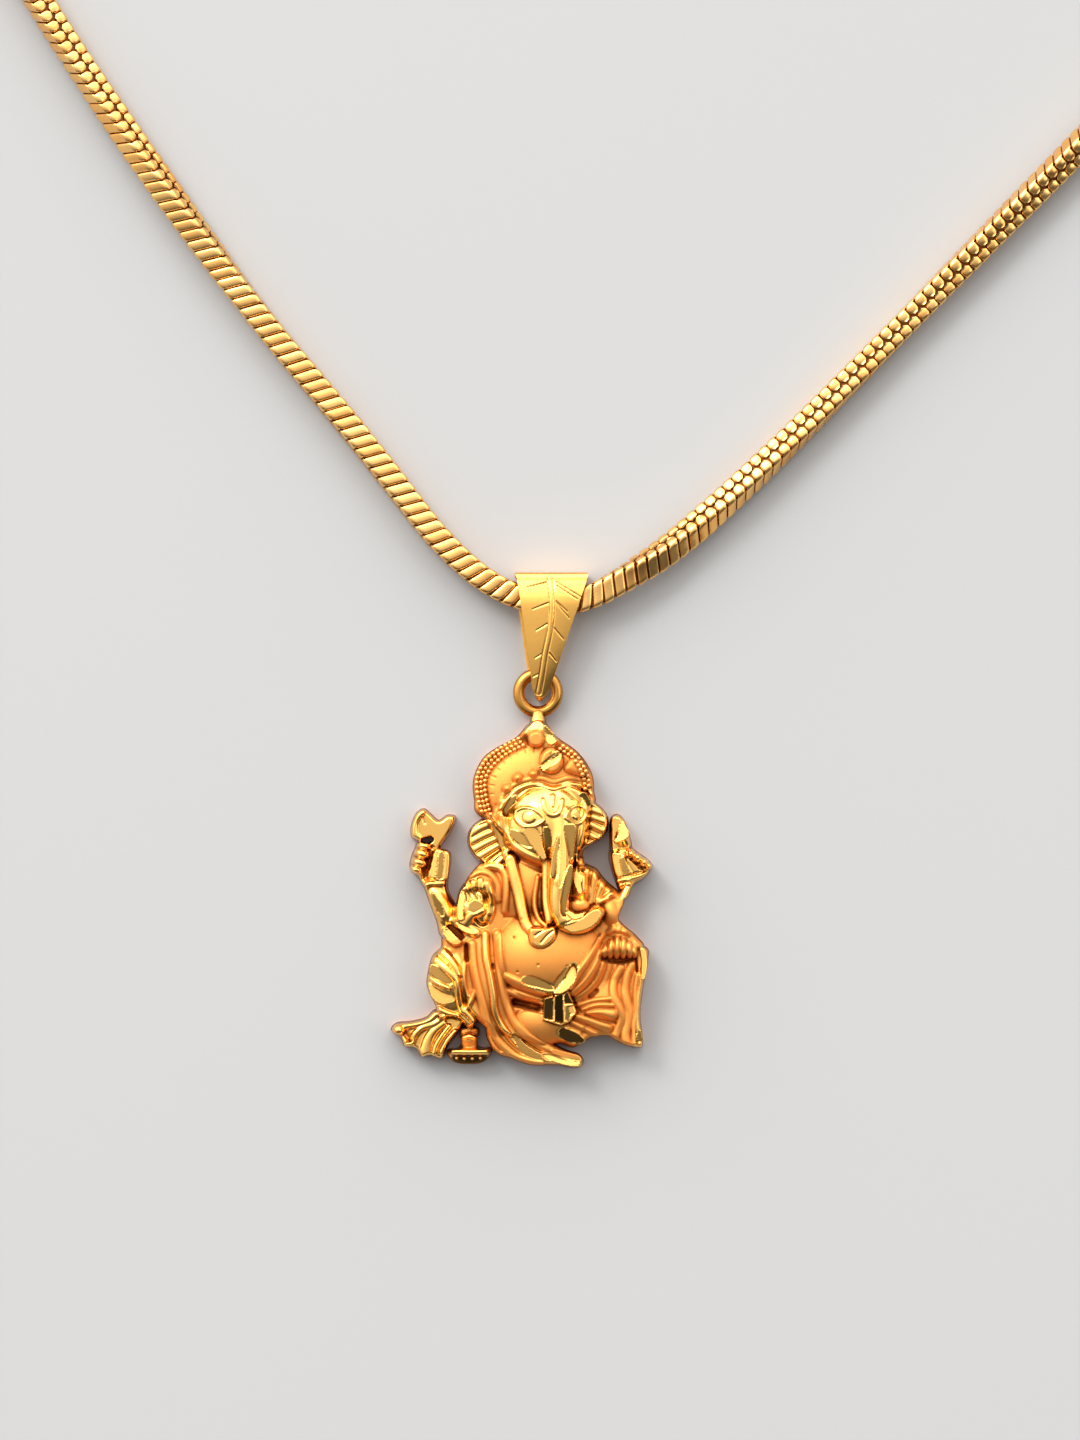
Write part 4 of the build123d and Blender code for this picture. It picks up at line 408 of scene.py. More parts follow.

# Diamond-cut facets are flats cut across the relief. Each leans so many degrees to the right and upwards
# from facing straight up; sink says how deep it is cut, and the dark share how far its colour is painted towards black:
# a painted dark reflection on the glossy facets, and painted shade in the hand's slot and under the pedestal's bowl
Facet = namedtuple("Facet", "name right up sink dark outline")
facets = [
    Facet("jewel_band", -3, 15, 0.01, 0, [(30.0, 60.1), (30.2, 59.8), (30.7, 59.4), (34.0, 62.0), (34.1, 62.3),
                                          (33.7, 62.9)]),
    Facet("jewel_groove", -4, -10, 0.02, 0, [(29.9, 60.7), (30.0, 60.3), (33.6, 63.0), (33.3, 63.4), (33.0, 63.4)]),
    Facet("finial_left", -10, 16, 0.01, 0, [(27.8, 67.8), (28.3, 69.0), (29.4, 69.4), (30.4, 68.8), (30.4, 67.8),
                                           (29.1, 67.6)]),
    Facet("finial_right", 18, -8, 0.01, 0.15, [(30.7, 68.6), (31.6, 68.0), (32.7, 66.6), (31.4, 66.5), (30.7, 67.2)]),
    Facet("finial_white", 4, 16, 0.0, 0, [(30.9, 66.4), (32.4, 66.2), (33.0, 65.4), (32.4, 64.7), (31.4, 64.9)]),
    Facet("left_temple", -14, -12, 0.0, 0.25, [(22.3, 50.6), (22.5, 52.0), (23.6, 53.8), (25.0, 54.7), (24.9, 53.4),
                                              (23.8, 52.0), (23.2, 50.4)]),
    Facet("right_temple", 16, -12, 0.0, 0.35, [(37.6, 54.9), (38.8, 55.2), (39.8, 53.8), (39.9, 52.6), (39.3, 52.4),
                                              (38.6, 53.4)]),
    Facet("left_cheek_cut", -12, -9, 0.01, 0.0, [(23.8, 47.9), (25.4, 47.6), (27.4, 46.4), (28.6, 44.8), (27.4, 44.3),
                                                 (25.4, 45.2), (24.1, 46.4)]),
    Facet("cheek_light", -6, -1, 0.0, 0, [(26.6, 48.0), (28.6, 48.4), (29.8, 47.0), (30.4, 44.4), (31.0, 42.2),
                                         (30.2, 41.9), (28.6, 44.0), (27.2, 46.0)]),
    Facet("cheek_dark", 2, -12, 0.01, 0.4, [(30.5, 48.3), (31.7, 48.0), (32.1, 46.0), (31.9, 44.4), (31.2, 44.1),
                                            (30.8, 46.0)]),
    Facet("trunk_right", 12, -7, 0.01, 0.0, [(34.6, 48.7), (36.9, 48.7), (36.7, 45.4), (36.4, 42.4), (35.6, 42.2),
                                             (35.1, 44.4), (34.7, 46.6)]),
    Facet("trunk_left", -10, -8, 0.01, 0.0, [(33.4, 46.8), (33.7, 45.4), (33.2, 42.0), (32.9, 38.4), (32.0, 38.4),
                                              (32.2, 42.6)]),
    Facet("trunk_wedge", 0, 7, 0.01, 0, [(34.0, 47.4), (34.9, 44.6), (34.9, 41.2), (34.2, 37.0), (33.6, 36.8),
                                         (33.7, 41.6), (34.0, 44.6)]),
    Facet("trunk_lower", 10, -8, 0.01, 0.0, [(36.4, 40.4), (35.4, 40.6), (34.4, 36.8), (33.8, 33.4), (34.0, 31.0),
                                             (34.9, 30.6), (35.1, 32.4), (35.3, 34.0), (35.9, 36.4)]),
    Facet("curl_cup", 4, 15, 0.0, 0, [(35.0, 31.7), (35.4, 30.8), (36.6, 30.1), (38.0, 30.5), (38.9, 31.5), (38.0, 31.3),
                                     (37.0, 31.1), (35.9, 31.6)]),
    Facet("curl_face", 3, 3, 0.0, 0, [(34.4, 28.7), (36.0, 29.3), (38.0, 30.2), (39.6, 31.5), (41.2, 32.0), (41.9, 31.2),
                                     (41.3, 29.7), (39.8, 28.4), (37.4, 27.6), (35.6, 27.6)]),
    Facet("sash_oval", -4, -9, 0.01, 0.3, [(26.1, 18.3), (27.6, 18.9), (30.0, 18.2), (32.5, 16.6), (32.0, 15.9),
                                          (29.0, 16.5), (26.5, 17.2)]),
    Facet("sash_leaf_dark", -8, -9, 0.01, 0.3, [(32.4, 16.6), (33.0, 18.2), (34.2, 19.6), (35.4, 20.9), (35.9, 20.4),
                                               (34.6, 18.2), (33.2, 16.0)]),
    Facet("sash_leaf", 4, 13, 0.0, 0, [(32.7, 15.6), (33.3, 15.2), (34.8, 15.6), (36.3, 17.2), (37.1, 19.4),
                                      (36.7, 20.9), (36.1, 20.9), (34.6, 18.2)]),
    Facet("buckle_pleat_1", -8, -16, 0.02, 0.8, [(30.5, 10.4), (30.6, 14.0), (30.7, 14.3), (32.2, 14.7), (32.4, 14.5),
                                                 (32.4, 10.1), (32.3, 9.9), (30.6, 10.2)]),
    Facet("buckle_pleat_2", 6, -16, 0.02, 0.8, [(32.8, 9.8), (32.7, 14.6), (32.8, 14.9), (34.1, 15.3), (34.3, 15.1),
                                                (34.5, 9.5), (34.4, 9.2), (32.9, 9.5)]),
    Facet("buckle_pleat_3", 14, -8, 0.02, 0.25, [(34.9, 9.8), (34.8, 12.8), (34.9, 12.9), (35.8, 12.9), (35.9, 12.8),
                                                 (35.7, 10.1)]),
    Facet("buckle_corner", -4, -16, 0.02, 0.75, [(34.7, 13.4), (34.7, 15.2), (34.8, 15.4), (35.3, 15.6), (35.4, 15.4),
                                                (36.4, 13.3), (36.2, 13.2), (34.9, 13.2)]),
    Facet("buckle_square", 14, 2, 0.02, 0, [(35.6, 12.6), (36.3, 12.9), (36.9, 11.7), (36.4, 11.1), (35.8, 11.2)]),
    Facet("lozenge_flat", 4, -15, 0.02, 0.65, [(33.5, 7.7), (34.2, 8.3), (35.6, 8.1), (37.4, 7.0), (38.6, 5.7),
                                              (37.6, 5.2), (35.6, 5.4), (34.0, 6.4)]),
    Facet("shawl_end_cut", -8, -10, 0.01, 0.1, [(24.3, 6.7), (25.2, 6.8), (26.8, 5.2), (28.8, 3.8), (31.0, 2.6),
                                               (30.8, 1.7), (28.4, 2.0), (26.0, 3.4)]),
    Facet("shawl_tip_top", 6, -4, 0.0, 0, [(32.4, 4.1), (34.8, 3.5), (37.4, 2.8), (38.2, 1.7), (37.2, 1.6),
                                          (34.8, 2.2), (32.2, 3.2)]),
    Facet("shawl_tip", -4, 12, 0.0, 0, [(30.4, 3.1), (32.0, 2.9), (34.6, 2.0), (37.0, 1.4), (37.4, 0.6),
                                       (35.2, 0.7), (32.2, 1.6), (30.6, 2.4)]),
    Facet("forearm_oval", -6, -13, 0.01, 0.15, [(8.2, 34.8), (8.9, 35.0), (10.2, 32.8), (10.7, 30.9), (10.0, 30.6),
                                                (8.8, 32.6)]),
    Facet("goad_cut", 2, 15, 0.0, 0, [(46.1, 49.6), (47.0, 48.4), (47.6, 46.9), (47.0, 45.9), (45.4, 45.2),
                                     (44.6, 45.5), (45.4, 46.8)]),
    Facet("goad_side", -12, -2, 0.0, 0, [(44.2, 49.8), (45.2, 50.2), (45.9, 49.4), (45.0, 47.0), (44.3, 46.0)]),
    Facet("palm_strip", 8, -6, 0.0, 0.0, [(9.7, 43.2), (10.7, 43.2), (10.5, 40.0), (10.3, 38.0), (9.2, 38.0),
                                          (9.4, 40.4)]),
    Facet("palm_side", -10, 4, 0.0, 0.0, [(8.8, 43.2), (9.5, 43.3), (9.2, 40.4), (8.9, 38.2), (7.9, 38.5), (8.3, 40.6)]),
    Facet("right_palm_strip", 6, -7, 0.0, 0.0, [(46.0, 42.2), (46.7, 42.2), (47.2, 40.4), (47.6, 38.9),
                                                (46.6, 38.7), (46.0, 40.2)]),
    Facet("right_palm_side", -12, 2, 0.0, 0.0, [(44.4, 42.8), (45.7, 42.4), (45.6, 40.4), (46.0, 38.6), (45.2, 38.5),
                                                (44.5, 40.6)]),
    Facet("open_palm_cut", -6, -6, 0.0, 0.0, [(15.6, 33.0), (16.8, 33.9), (18.4, 33.2), (18.2, 32.0), (16.8, 31.2),
                                             (15.6, 31.6)]),
    Facet("open_hand_side", -6, 10, 0.0, 0.0, [(13.4, 30.2), (13.6, 33.4), (14.4, 35.8), (14.9, 34.4), (14.5, 31.8),
                                               (14.4, 29.8)]),
    Facet("open_wrist_cut", -4, 12, 0.0, 0.0, [(13.0, 29.6), (14.2, 29.0), (16.8, 27.7), (17.2, 27.0), (15.6, 27.0),
                                               (13.6, 28.2)]),
    Facet("bowl_shade", 0, -16, 0.0, 0.85, [(12.2, 2.5), (15.8, 2.6), (19.4, 2.5), (18.2, 1.3), (15.6, 1.0),
                                           (13.2, 1.2)]),
    Facet("drape_petal", -5, 4, 0.01, 0, [(7.6, 17.2), (8.8, 16.5), (10.8, 15.4), (12.5, 14.8), (12.6, 13.6),
                                         (10.9, 12.9), (9.2, 13.3), (8.0, 14.8)]),
    Facet("drape_slope", -8, -7, 0.0, 0.12, [(8.0, 20.9), (9.3, 20.7), (11.4, 18.9), (12.4, 17.5), (11.4, 16.9),
                                            (9.4, 17.9), (7.9, 19.2)]),
    Facet("cuff_face", -6, 8, 0.0, 0, [(10.8, 27.2), (11.2, 28.0), (12.6, 27.2), (14.2, 26.1), (14.2, 25.4),
                                      (13.0, 24.8), (11.4, 25.6)]),
    Facet("hand_slot", 0, -6, 0.12, 0.9, [(11.3, 28.4), (11.5, 28.7), (12.2, 28.8), (12.5, 28.7), (14.8, 26.5),
                                         (14.8, 26.2), (14.3, 25.7), (14.0, 25.7)]),
    Facet("breast_cut", 10, 12, 0.0, 0, [(36.2, 38.6), (37.2, 39.4), (37.9, 37.4), (38.2, 35.4), (37.4, 35.2)]),
    Facet("hem_cut", 14, 6, 0.0, 0, [(49.8, 23.6), (50.6, 24.0), (51.2, 21.6), (50.8, 18.4), (50.2, 18.0),
                                    (50.2, 21.0)]),
    Facet("hem_foot_cut", 12, -10, 0.0, 0.1, [(49.4, 8.0), (50.0, 7.6), (50.2, 5.8), (49.4, 5.4), (49.0, 6.6)]),
]

# Burnished areas, and how bright each is
Burnish = namedtuple("Burnish", "name share outline")
burnished = [
    Burnish("face", 1.0,
            [(21.6, 52.0), (24.5, 54.8), (28.0, 55.9), (32.0, 55.4), (36.0, 56.2), (39.4, 54.6), (39.6, 50.0),
             (38.0, 44.0), (36.6, 38.0), (35.6, 33.0), (36.6, 30.9), (39.0, 31.8), (41.4, 33.0),
             (42.4, 30.8), (39.6, 27.6), (36.5, 27.0), (33.2, 28.2), (31.6, 31.6), (31.2, 37.0),
             (30.7, 41.2), (27.0, 43.0), (24.0, 45.6), (22.8, 49.0)]),
    Burnish("brow_cord", 0.8,
            [(21.6, 52.0), (24.0, 55.6), (27.0, 57.3), (30.2, 57.5), (32.6, 56.8), (35.6, 57.6), (38.6, 57.0),
             (40.4, 55.6), (39.6, 54.6), (36.0, 56.0), (32.0, 55.2), (28.0, 55.8)]),
    Burnish("left_drape", 0.9,
            [(10.2, 24.6), (8.2, 22.4), (7.4, 19.4), (7.2, 16.4), (8.9, 12.6), (9.4, 10.6), (14.0, 9.6),
             (16.6, 8.0), (17.0, 12.0), (14.6, 17.0), (14.2, 22.0)]),
    Burnish("crown_tip", 1.0, [(27.8, 70.6), (26.6, 67.2), (28.8, 67.9), (30.4, 67.6), (31.0, 65.6), (31.2, 64.4),
                               (33.2, 64.6), (33.0, 66.6), (31.4, 69.0), (30.9, 70.8)]),
    Burnish("jewel_cut", 0.95, [(29.9, 60.9), (29.9, 60.0), (30.7, 59.3), (34.1, 62.0), (33.9, 63.0), (33.2, 63.6)]),
    Burnish("buckle", 1.0, [(30.6, 14.8), (34.8, 16.2), (37.2, 12.4), (35.0, 9.2), (30.6, 9.8)]),
    Burnish("sash", 1.0, [(26.2, 18.4), (29.8, 18.2), (33.0, 17.6), (36.0, 21.4), (37.4, 20.6), (35.6, 15.8),
                          (33.0, 14.8), (28.8, 16.0)]),
    Burnish("lozenge", 1.0, [(33.0, 7.6), (34.8, 8.6), (38.9, 5.8), (37.6, 5.0), (34.2, 5.8)]),
    Burnish("chest_oval", 0.8, [(35.6, 34.6), (36.8, 40.0), (38.4, 40.2), (39.2, 36.0), (38.4, 33.4), (36.6, 33.2)]),
    Burnish("right_shoulder", 0.55, [(38.4, 40.8), (42.8, 37.4), (44.4, 35.0), (41.2, 32.8), (39.4, 33.4)]),
    Burnish("shawl_middle", 0.75,
            [(18.4, 27.0), (19.9, 27.0), (20.4, 19.6), (21.4, 13.2), (23.6, 8.4), (31.8, 3.0),
             (38.0, 2.4), (37.8, 0.2), (31.0, 1.4), (26.0, 2.6), (21.2, 8.0), (19.4, 14.0), (18.6, 20.0)]),
    Burnish("right_hem", 0.8, [(49.8, 24.4), (51.4, 21.6), (50.4, 14.0), (50.6, 4.4), (48.4, 4.4), (49.2, 12.0)]),
    Burnish("knee", 0.25, [(41.8, 24.4), (43.5, 26.3), (45.3, 26.9), (47.1, 26.2), (48.9, 24.4), (48.4, 23.4),
                          (45.3, 22.8), (42.6, 23.1)]),
    Burnish("pedestal_rim", 0.9, [(11.6, 3.5), (12.6, 4.4), (15.8, 4.3), (19.0, 4.4), (20.0, 3.5), (19.0, 2.0),
                                  (15.8, 1.2), (12.6, 2.0)]),
    Burnish("pedestal_ring", 0.9, [(13.6, 6.2), (15.7, 7.4), (17.9, 6.2), (15.7, 5.8)]),
    Burnish("tassel", 0.7, [(27.4, 26.0), (28.0, 28.8), (33.4, 28.8), (32.8, 25.4), (30.4, 24.0)]),
    Burnish("straps", 0.6, [(23.4, 42.0), (25.0, 42.0), (28.6, 28.4), (32.0, 30.0), (31.8, 42.0), (30.2, 42.2),
                             (29.0, 30.0), (26.8, 27.6)]),
]
burnished_plates = {"left_ear": 0.9, "right_ear": 0.9, "axe": 1.0, "left_fist": 0.9, "upper_left_hand": 0.85,
                    "lower_left_hand": 0.95, "upper_right_hand": 0.9, "goad": 1.0, "left_fan": 0.85}


def flowing(points, closed=False, steps=6):
    """A smooth line through the chosen points, each span cut into a few steps."""
    points = np.array(points, float)
    if closed:
        framed = np.vstack([points[-1:], points, points[:2]])
    else:
        framed = np.vstack([2 * points[:1] - points[1:2], points, 2 * points[-1:] - points[-2:-1]])
    before, start, end, after = framed[:-3], framed[1:-2], framed[2:-1], framed[3:]
    share = np.arange(steps)[:, None, None] / steps
    line = start + 0.5 * ((end - before) * share
                          + (2 * before - 5 * start + 4 * end - after) * share ** 2
                          + (3 * start - before - 3 * end + after) * share ** 3)
    line = line.transpose(1, 0, 2).reshape(-1, 2)
    return line if closed else np.vstack([line, points[-1:]])


def beside(places, line, margin):
    """Which places lie within a margin of the line's own box."""
    return ((places > line.min(0) - margin) & (places < line.max(0) + margin)).all(1)


def from_span(places, start, end):
    """Each place's distance from one straight span, and its share of the way along it."""
    run = end - start
    share = np.clip((places - start) @ run / (run @ run), 0, 1)
    return np.linalg.norm(places - start - share[:, None] * run, axis=1), share


def inside_depth(places, outline):
    """How far each place lies inside a smooth closed outline, up to the reach; negative outside."""
    loop = flowing(outline, closed=True)
    near = np.flatnonzero(beside(places, loop, edge_reach))
    close = places[near]
    distance = np.full(len(close), edge_reach)
    inside = np.zeros(len(close), bool)
    for start, end in zip(loop, np.roll(loop, -1, axis=0)):
        beside_span = np.flatnonzero(beside(close, np.stack([start, end]), edge_reach))
        from_here, _ = from_span(close[beside_span], start, end)
        distance[beside_span] = np.minimum(distance[beside_span], from_here)
        crosses = np.flatnonzero((start[1] > close[:, 1]) != (end[1] > close[:, 1]))
        level = (close[crosses, 1] - start[1]) / (end[1] - start[1]) if len(crosses) else 0
        inside[crosses] ^= close[crosses, 0] < start[0] + level * (end[0] - start[0])
    depth = np.full(len(places), -edge_reach)
    depth[near] = np.where(inside, distance, -distance)
    return depth


def edge_depth(places):
    """How far each place lies inside the whole figure's edge."""
    depth = np.max([inside_depth(places, plate.outline) for plate in plates], axis=0)
    for gap in gaps:
        depth = np.minimum(depth, -inside_depth(places, gap.outline))
    return depth


def rounded(reach):
    """Height share across a round back: 1 in the middle and 0 at the edge."""
    return np.sqrt(np.clip(1 - reach ** 2, 0, 1))


def merged(first, second):
    """The higher of two surfaces, with the crease between them filled a little."""
    fill = np.clip(crease_fill - np.abs(first - second), 0, None)
    return np.maximum(first, second) + fill ** 2 / (4 * crease_fill)


def raise_plate(height, places, plate):
    inner = inside_depth(places, plate.outline)
    shoulder = rounded(np.clip(1 - inner / plate.round, 0, 1))
    top = plate.edge + (plate.top - plate.edge) * shoulder
    return np.where(inner > 0, np.maximum(height, top), height)


def raise_dome(height, places, dome):
    turn = math.radians(dome.turn)
    x = places[:, 0] - dome.x
    y = places[:, 1] - dome.y
    across = (x * math.cos(turn) + y * math.sin(turn)) / dome.half_x
    up = (y * math.cos(turn) - x * math.sin(turn)) / dome.half_y
    reach = np.hypot(across, up)
    top = dome.foot + (dome.top - dome.foot) * rounded(reach) - np.clip(reach - 1, 0, None)
    return np.where(reach < dome_skirt, merged(height, top), height)


def across_line(places, line, width_in, width_out):
    """Which places lie on a band along the line, how far across it, and how far along it."""
    line = flowing(line)
    margin = max(width_in, width_out)
    near = np.flatnonzero(beside(places, line, margin))
    close = places[near]
    distance = np.full(len(close), edge_reach)
    share = np.zeros(len(close))
    for number, (start, end) in enumerate(zip(line, line[1:])):
        here = np.flatnonzero(beside(close, np.stack([start, end]), margin))
        from_here, along = from_span(close[here], start, end)
        nearer = from_here < distance[here]
        distance[here[nearer]] = from_here[nearer]
        share[here[nearer]] = (number + along[nearer]) / (len(line) - 1)
    reach = distance / (width_in + (width_out - width_in) * share)
    on = reach < 1
    return near[on], reach[on], share[on]


def raise_limb(height, places, limb):
    on, reach, share = across_line(places, limb.line, limb.width_in, limb.width_out)
    crest = limb.crest_in + (limb.crest_out - limb.crest_in) * share
    height = height.copy()
    height[on] = merged(height[on], crest - limb.drop * (1 - rounded(reach)))
    return height


def relief(places, edge):
    """The carved surface's height over each place, as a share of the figure's depth."""
    height = np.full(len(places), rim_share)
    for plate in plates:
        height = raise_plate(height, places, plate)
    for dome in domes:
        height = raise_dome(height, places, dome)
    for limb in limbs:
        height = raise_limb(height, places, limb)

    rise = np.zeros(len(places))
    for fold in folds:
        on, reach, share = across_line(places, fold.line, fold.width_in, fold.width_out)
        crest = fold.rise_in + (fold.rise_out - fold.rise_in) * share
        rise[on] = np.maximum(rise[on], crest * rounded(reach))
    height = height + rise
    for cut in cuts:
        on, reach, _ = across_line(places, cut.line, cut.half_width, cut.half_width)
        height[on] -= cut.depth * (1 - reach ** 2)

    for limb in front_limbs:
        height = raise_limb(height, places, limb)
    for slab in slabs:
        height = raise_plate(height, places, slab)
    for stud in studs:
        height = raise_dome(height, places, stud)
    for fold in fine_folds:
        on, reach, share = across_line(places, fold.line, fold.width_in, fold.width_out)
        height[on] += (fold.rise_in + (fold.rise_out - fold.rise_in) * share) * rounded(reach)
    for boss in bosses:
        reach = np.hypot((places[:, 0] - boss.x) / boss.half_x, (places[:, 1] - boss.y) / boss.half_y)
        height += boss.rise * rounded(reach ** 2)
    for cut in fine_cuts:
        on, reach, _ = across_line(places, cut.line, cut.half_width, cut.half_width)
        height[on] -= cut.depth * (1 - reach)
    shoulder = rounded(1 - np.clip(edge / edge_round, 0, 1))
    return np.clip(height, rim_share, rim_share + (1 - rim_share) * shoulder)


def carved_lattice():
    """The relief's points in squares, their depth inside the edge, and its facets, border on the edge."""
    row_height = facet_squares * math.sqrt(3) / 2
    columns = int(squares_across / facet_squares) + 16
    rows = int((squares_up + 2) / row_height) + 16
    row, column = np.mgrid[0:rows, 0:columns]
    places = np.stack([(column + row % 2 / 2 - 6.5) * facet_squares, (row - 6.5) * row_height], -1)
    places = places.reshape(-1, 2)
    depth = edge_depth(places)
    near = np.abs(depth) < facet_squares / 2
    step_x, step_y = np.array([slope_step, 0]), np.array([0, slope_step])
    for _ in range(settling_rounds):
        here = places[near]
        level = edge_depth(here)
        slope = np.stack([edge_depth(here + step_x) - level, edge_depth(here + step_y) - level], -1) / slope_step
        steep = np.maximum((slope ** 2).sum(1), least_slope)
        places[near] = here - slope * (level / steep)[:, None]
    depth[near] = 0

    index = (row * columns + column)[:-1, :-1]
    right, above = index + 1, index + columns
    odd = (row % 2 == 1)[:-1, :-1, None]
    lower = np.where(odd, np.stack([index, right, above + 1], -1), np.stack([index, right, above], -1))
    upper = np.where(odd, np.stack([index, above + 1, above], -1), np.stack([right, above + 1, above], -1))
    triangles = np.vstack([lower.reshape(-1, 3), upper.reshape(-1, 3)])
    triangles = triangles[(depth[triangles] >= 0).all(1)]
    on_edge = (depth[triangles] == 0).all(1)
    keep = np.ones(len(triangles), bool)
    keep[on_edge] = edge_depth(places[triangles[on_edge]].mean(1)) > sliver_depth
    triangles = triangles[keep]
    while True:
        starts = np.array([start for start, _ in border_sides(triangles)])
        passed, times = np.unique(starts, return_counts=True)
        if times.max() == 1:
            break
        triangles = triangles[~np.isin(triangles, passed[times > 1]).any(1)]
    used, triangles = np.unique(triangles, return_inverse=True)
    return places[used], depth[used], triangles.reshape(-1, 3)


def border_sides(triangles):
    """The facets' sides that have no neighbour, each with the figure on its left."""
    sides = np.vstack([triangles[:, [0, 1]], triangles[:, [1, 2]], triangles[:, [2, 0]]])
    ways = len(sides) * 10
    there = sides[:, 0] * ways + sides[:, 1]
    back = sides[:, 1] * ways + sides[:, 0]
    return sides[~np.isin(there, back)]


def softened(values, triangles, passes):
    """The values after each point has been averaged with its neighbours a few times."""
    sides = np.vstack([triangles[:, [0, 1]], triangles[:, [1, 2]], triangles[:, [2, 0]]])
    neighbours = np.bincount(sides.ravel(), minlength=len(values))
    for _ in range(passes):
        met = (np.bincount(sides[:, 0], values[sides[:, 1]], len(values))
               + np.bincount(sides[:, 1], values[sides[:, 0]], len(values)))
        values = (values + met / neighbours) / 2
    return values


def cut_facets(height, dark, places):
    """Cuts each flat into the heights and notes how far its colour is painted towards black, as painted dark reflection
    and painted shade.
    """
    for facet in facets:
        on = np.flatnonzero(inside_depth(places, facet.outline) > 0)
        fall = np.tan(np.radians([facet.right, facet.up])) * square / figure_depth
        along_fall = (places[on] - places[on].mean(0)) @ fall
        height[on] = np.median(height[on] + along_fall) - facet.sink - along_fall
        dark[on] = facet.dark


places, depth_inside, triangles = carved_lattice()
height = softened(relief(places, depth_inside), triangles, 1)
# painted dark reflection and painted shade, per point, set by the facets
dark = np.zeros(len(places))
cut_facets(height, dark, places)
height = np.maximum(height, rim_share)

polish = np.zeros(len(places))
areas = [(area.outline, area.share) for area in burnished]
areas += [(plate.outline, burnished_plates[plate.name]) for plate in plates if plate.name in burnished_plates]
blend_width = 0.6                # squares over which bright passes into satin
for outline, share in areas:
    inner = inside_depth(places, outline)
    polish = np.maximum(polish, share * np.clip(inner / blend_width + 0.5, 0, 1))
close_ground = softened(height, triangles, 14)
wide_ground = softened(height, triangles, 70)
# painted shade: darker where the surface lies below the smoothed surface round it, and in the channels between the
# halo's beads
painted_recess_shade = np.clip((close_ground - height) * 30, 0, 1) + np.clip((wide_ground - height) * 9, 0, 1)
for cut in cuts:
    if cut.name.startswith("bead_channel"):
        on, reach, _ = across_line(places, cut.line, cut.half_width, cut.half_width)
        painted_recess_shade[on] += 0.9 * (1 - reach ** 4)


def cast_mesh():
    """The relief with its side walls and flat back, as one closed mesh."""
    count = len(places)
    top = np.column_stack([*on_grid(places[:, 0], places[:, 1]), height * figure_depth])
    sides = border_sides(triangles)
    border = np.unique(sides)
    foot_of = np.full(count, -1)
    foot_of[border] = count + np.arange(len(border))
    foot = top[border] * (1, 1, 0)
    walls = [(foot_of[start], foot_of[end], end, start) for start, end in sides]
    mesh = bpy.data.meshes.new("figure_relief")
    mesh.from_pydata(np.vstack([top, foot]).tolist(), [], triangles.tolist() + walls)
    shaped = bmesh.new()
    shaped.from_mesh(mesh)
    shaped.verts.ensure_lookup_table()
    rim_edges = [edge for edge in shaped.edges if edge.is_boundary]
    bmesh.ops.triangle_fill(shaped, use_beauty=True, use_dissolve=False, edges=rim_edges, normal=(0, 0, -1))
    shaped.normal_update()
    shaped.to_mesh(mesh)
    shaped.free()
    return mesh, len(border)


figure_mesh, border_count = cast_mesh()
figure = bpy.data.objects.new("cast_figure", figure_mesh)
bpy.context.scene.collection.objects.link(figure)
for name, values in (("polish", polish), ("painted_recess_shade", painted_recess_shade), ("dark", dark)):
    layer = figure_mesh.attributes.new(name, "FLOAT", "POINT")
    padded_values = np.zeros(len(figure_mesh.vertices))
    padded_values[:len(values)] = values
    layer.data.foreach_set("value", padded_values)
figure_mesh.polygons.foreach_set("use_smooth", [abs(face.normal.z) > 0.05 for face in figure_mesh.polygons])


class Nodes:
    """Places shader nodes in a tree, so that a material reads as a list of its steps."""

    def __init__(self, tree):
        self.tree = tree

    def add(self, kind, **sockets):
        node = self.tree.nodes.new(kind)
        for name, value in sockets.items():
            self.feed(node, name.replace("_", " "), value)
        return node

    def feed(self, node, name, value):
        socket = node.inputs[int(name) if name.isdigit() else name]
        if isinstance(value, bpy.types.NodeSocket):
            self.tree.links.new(value, socket)
        else:
            socket.default_value = value


def new_group(name, inputs, outputs):
    group = bpy.data.node_groups.new(name, "ShaderNodeTree")
    for label, kind, value in inputs:
        group.interface.new_socket(label, in_out="INPUT", socket_type=kind).default_value = value
    for label, kind in outputs:
        group.interface.new_socket(label, in_out="OUTPUT", socket_type=kind)
    entry = group.nodes.new("NodeGroupInput")
    leave = group.nodes.new("NodeGroupOutput")
    return group, Nodes(group), entry.outputs, leave


def maths(nodes, operation, first, second=0.0):
    node = nodes.add("ShaderNodeMath")
    node.operation = operation
    nodes.feed(node, "0", first)
    nodes.feed(node, "1", second)
    return node.outputs[0]


def mixed(nodes, factor, first, second):
    node = nodes.tree.nodes.new("ShaderNodeMix")
    node.data_type = "RGBA"
    for number, value in ((0, factor), (6, first), (7, second)):
        nodes.feed(node, str(number), value)
    return node.outputs[2]


FLOAT, COLOUR = "NodeSocketFloat", "NodeSocketColor"

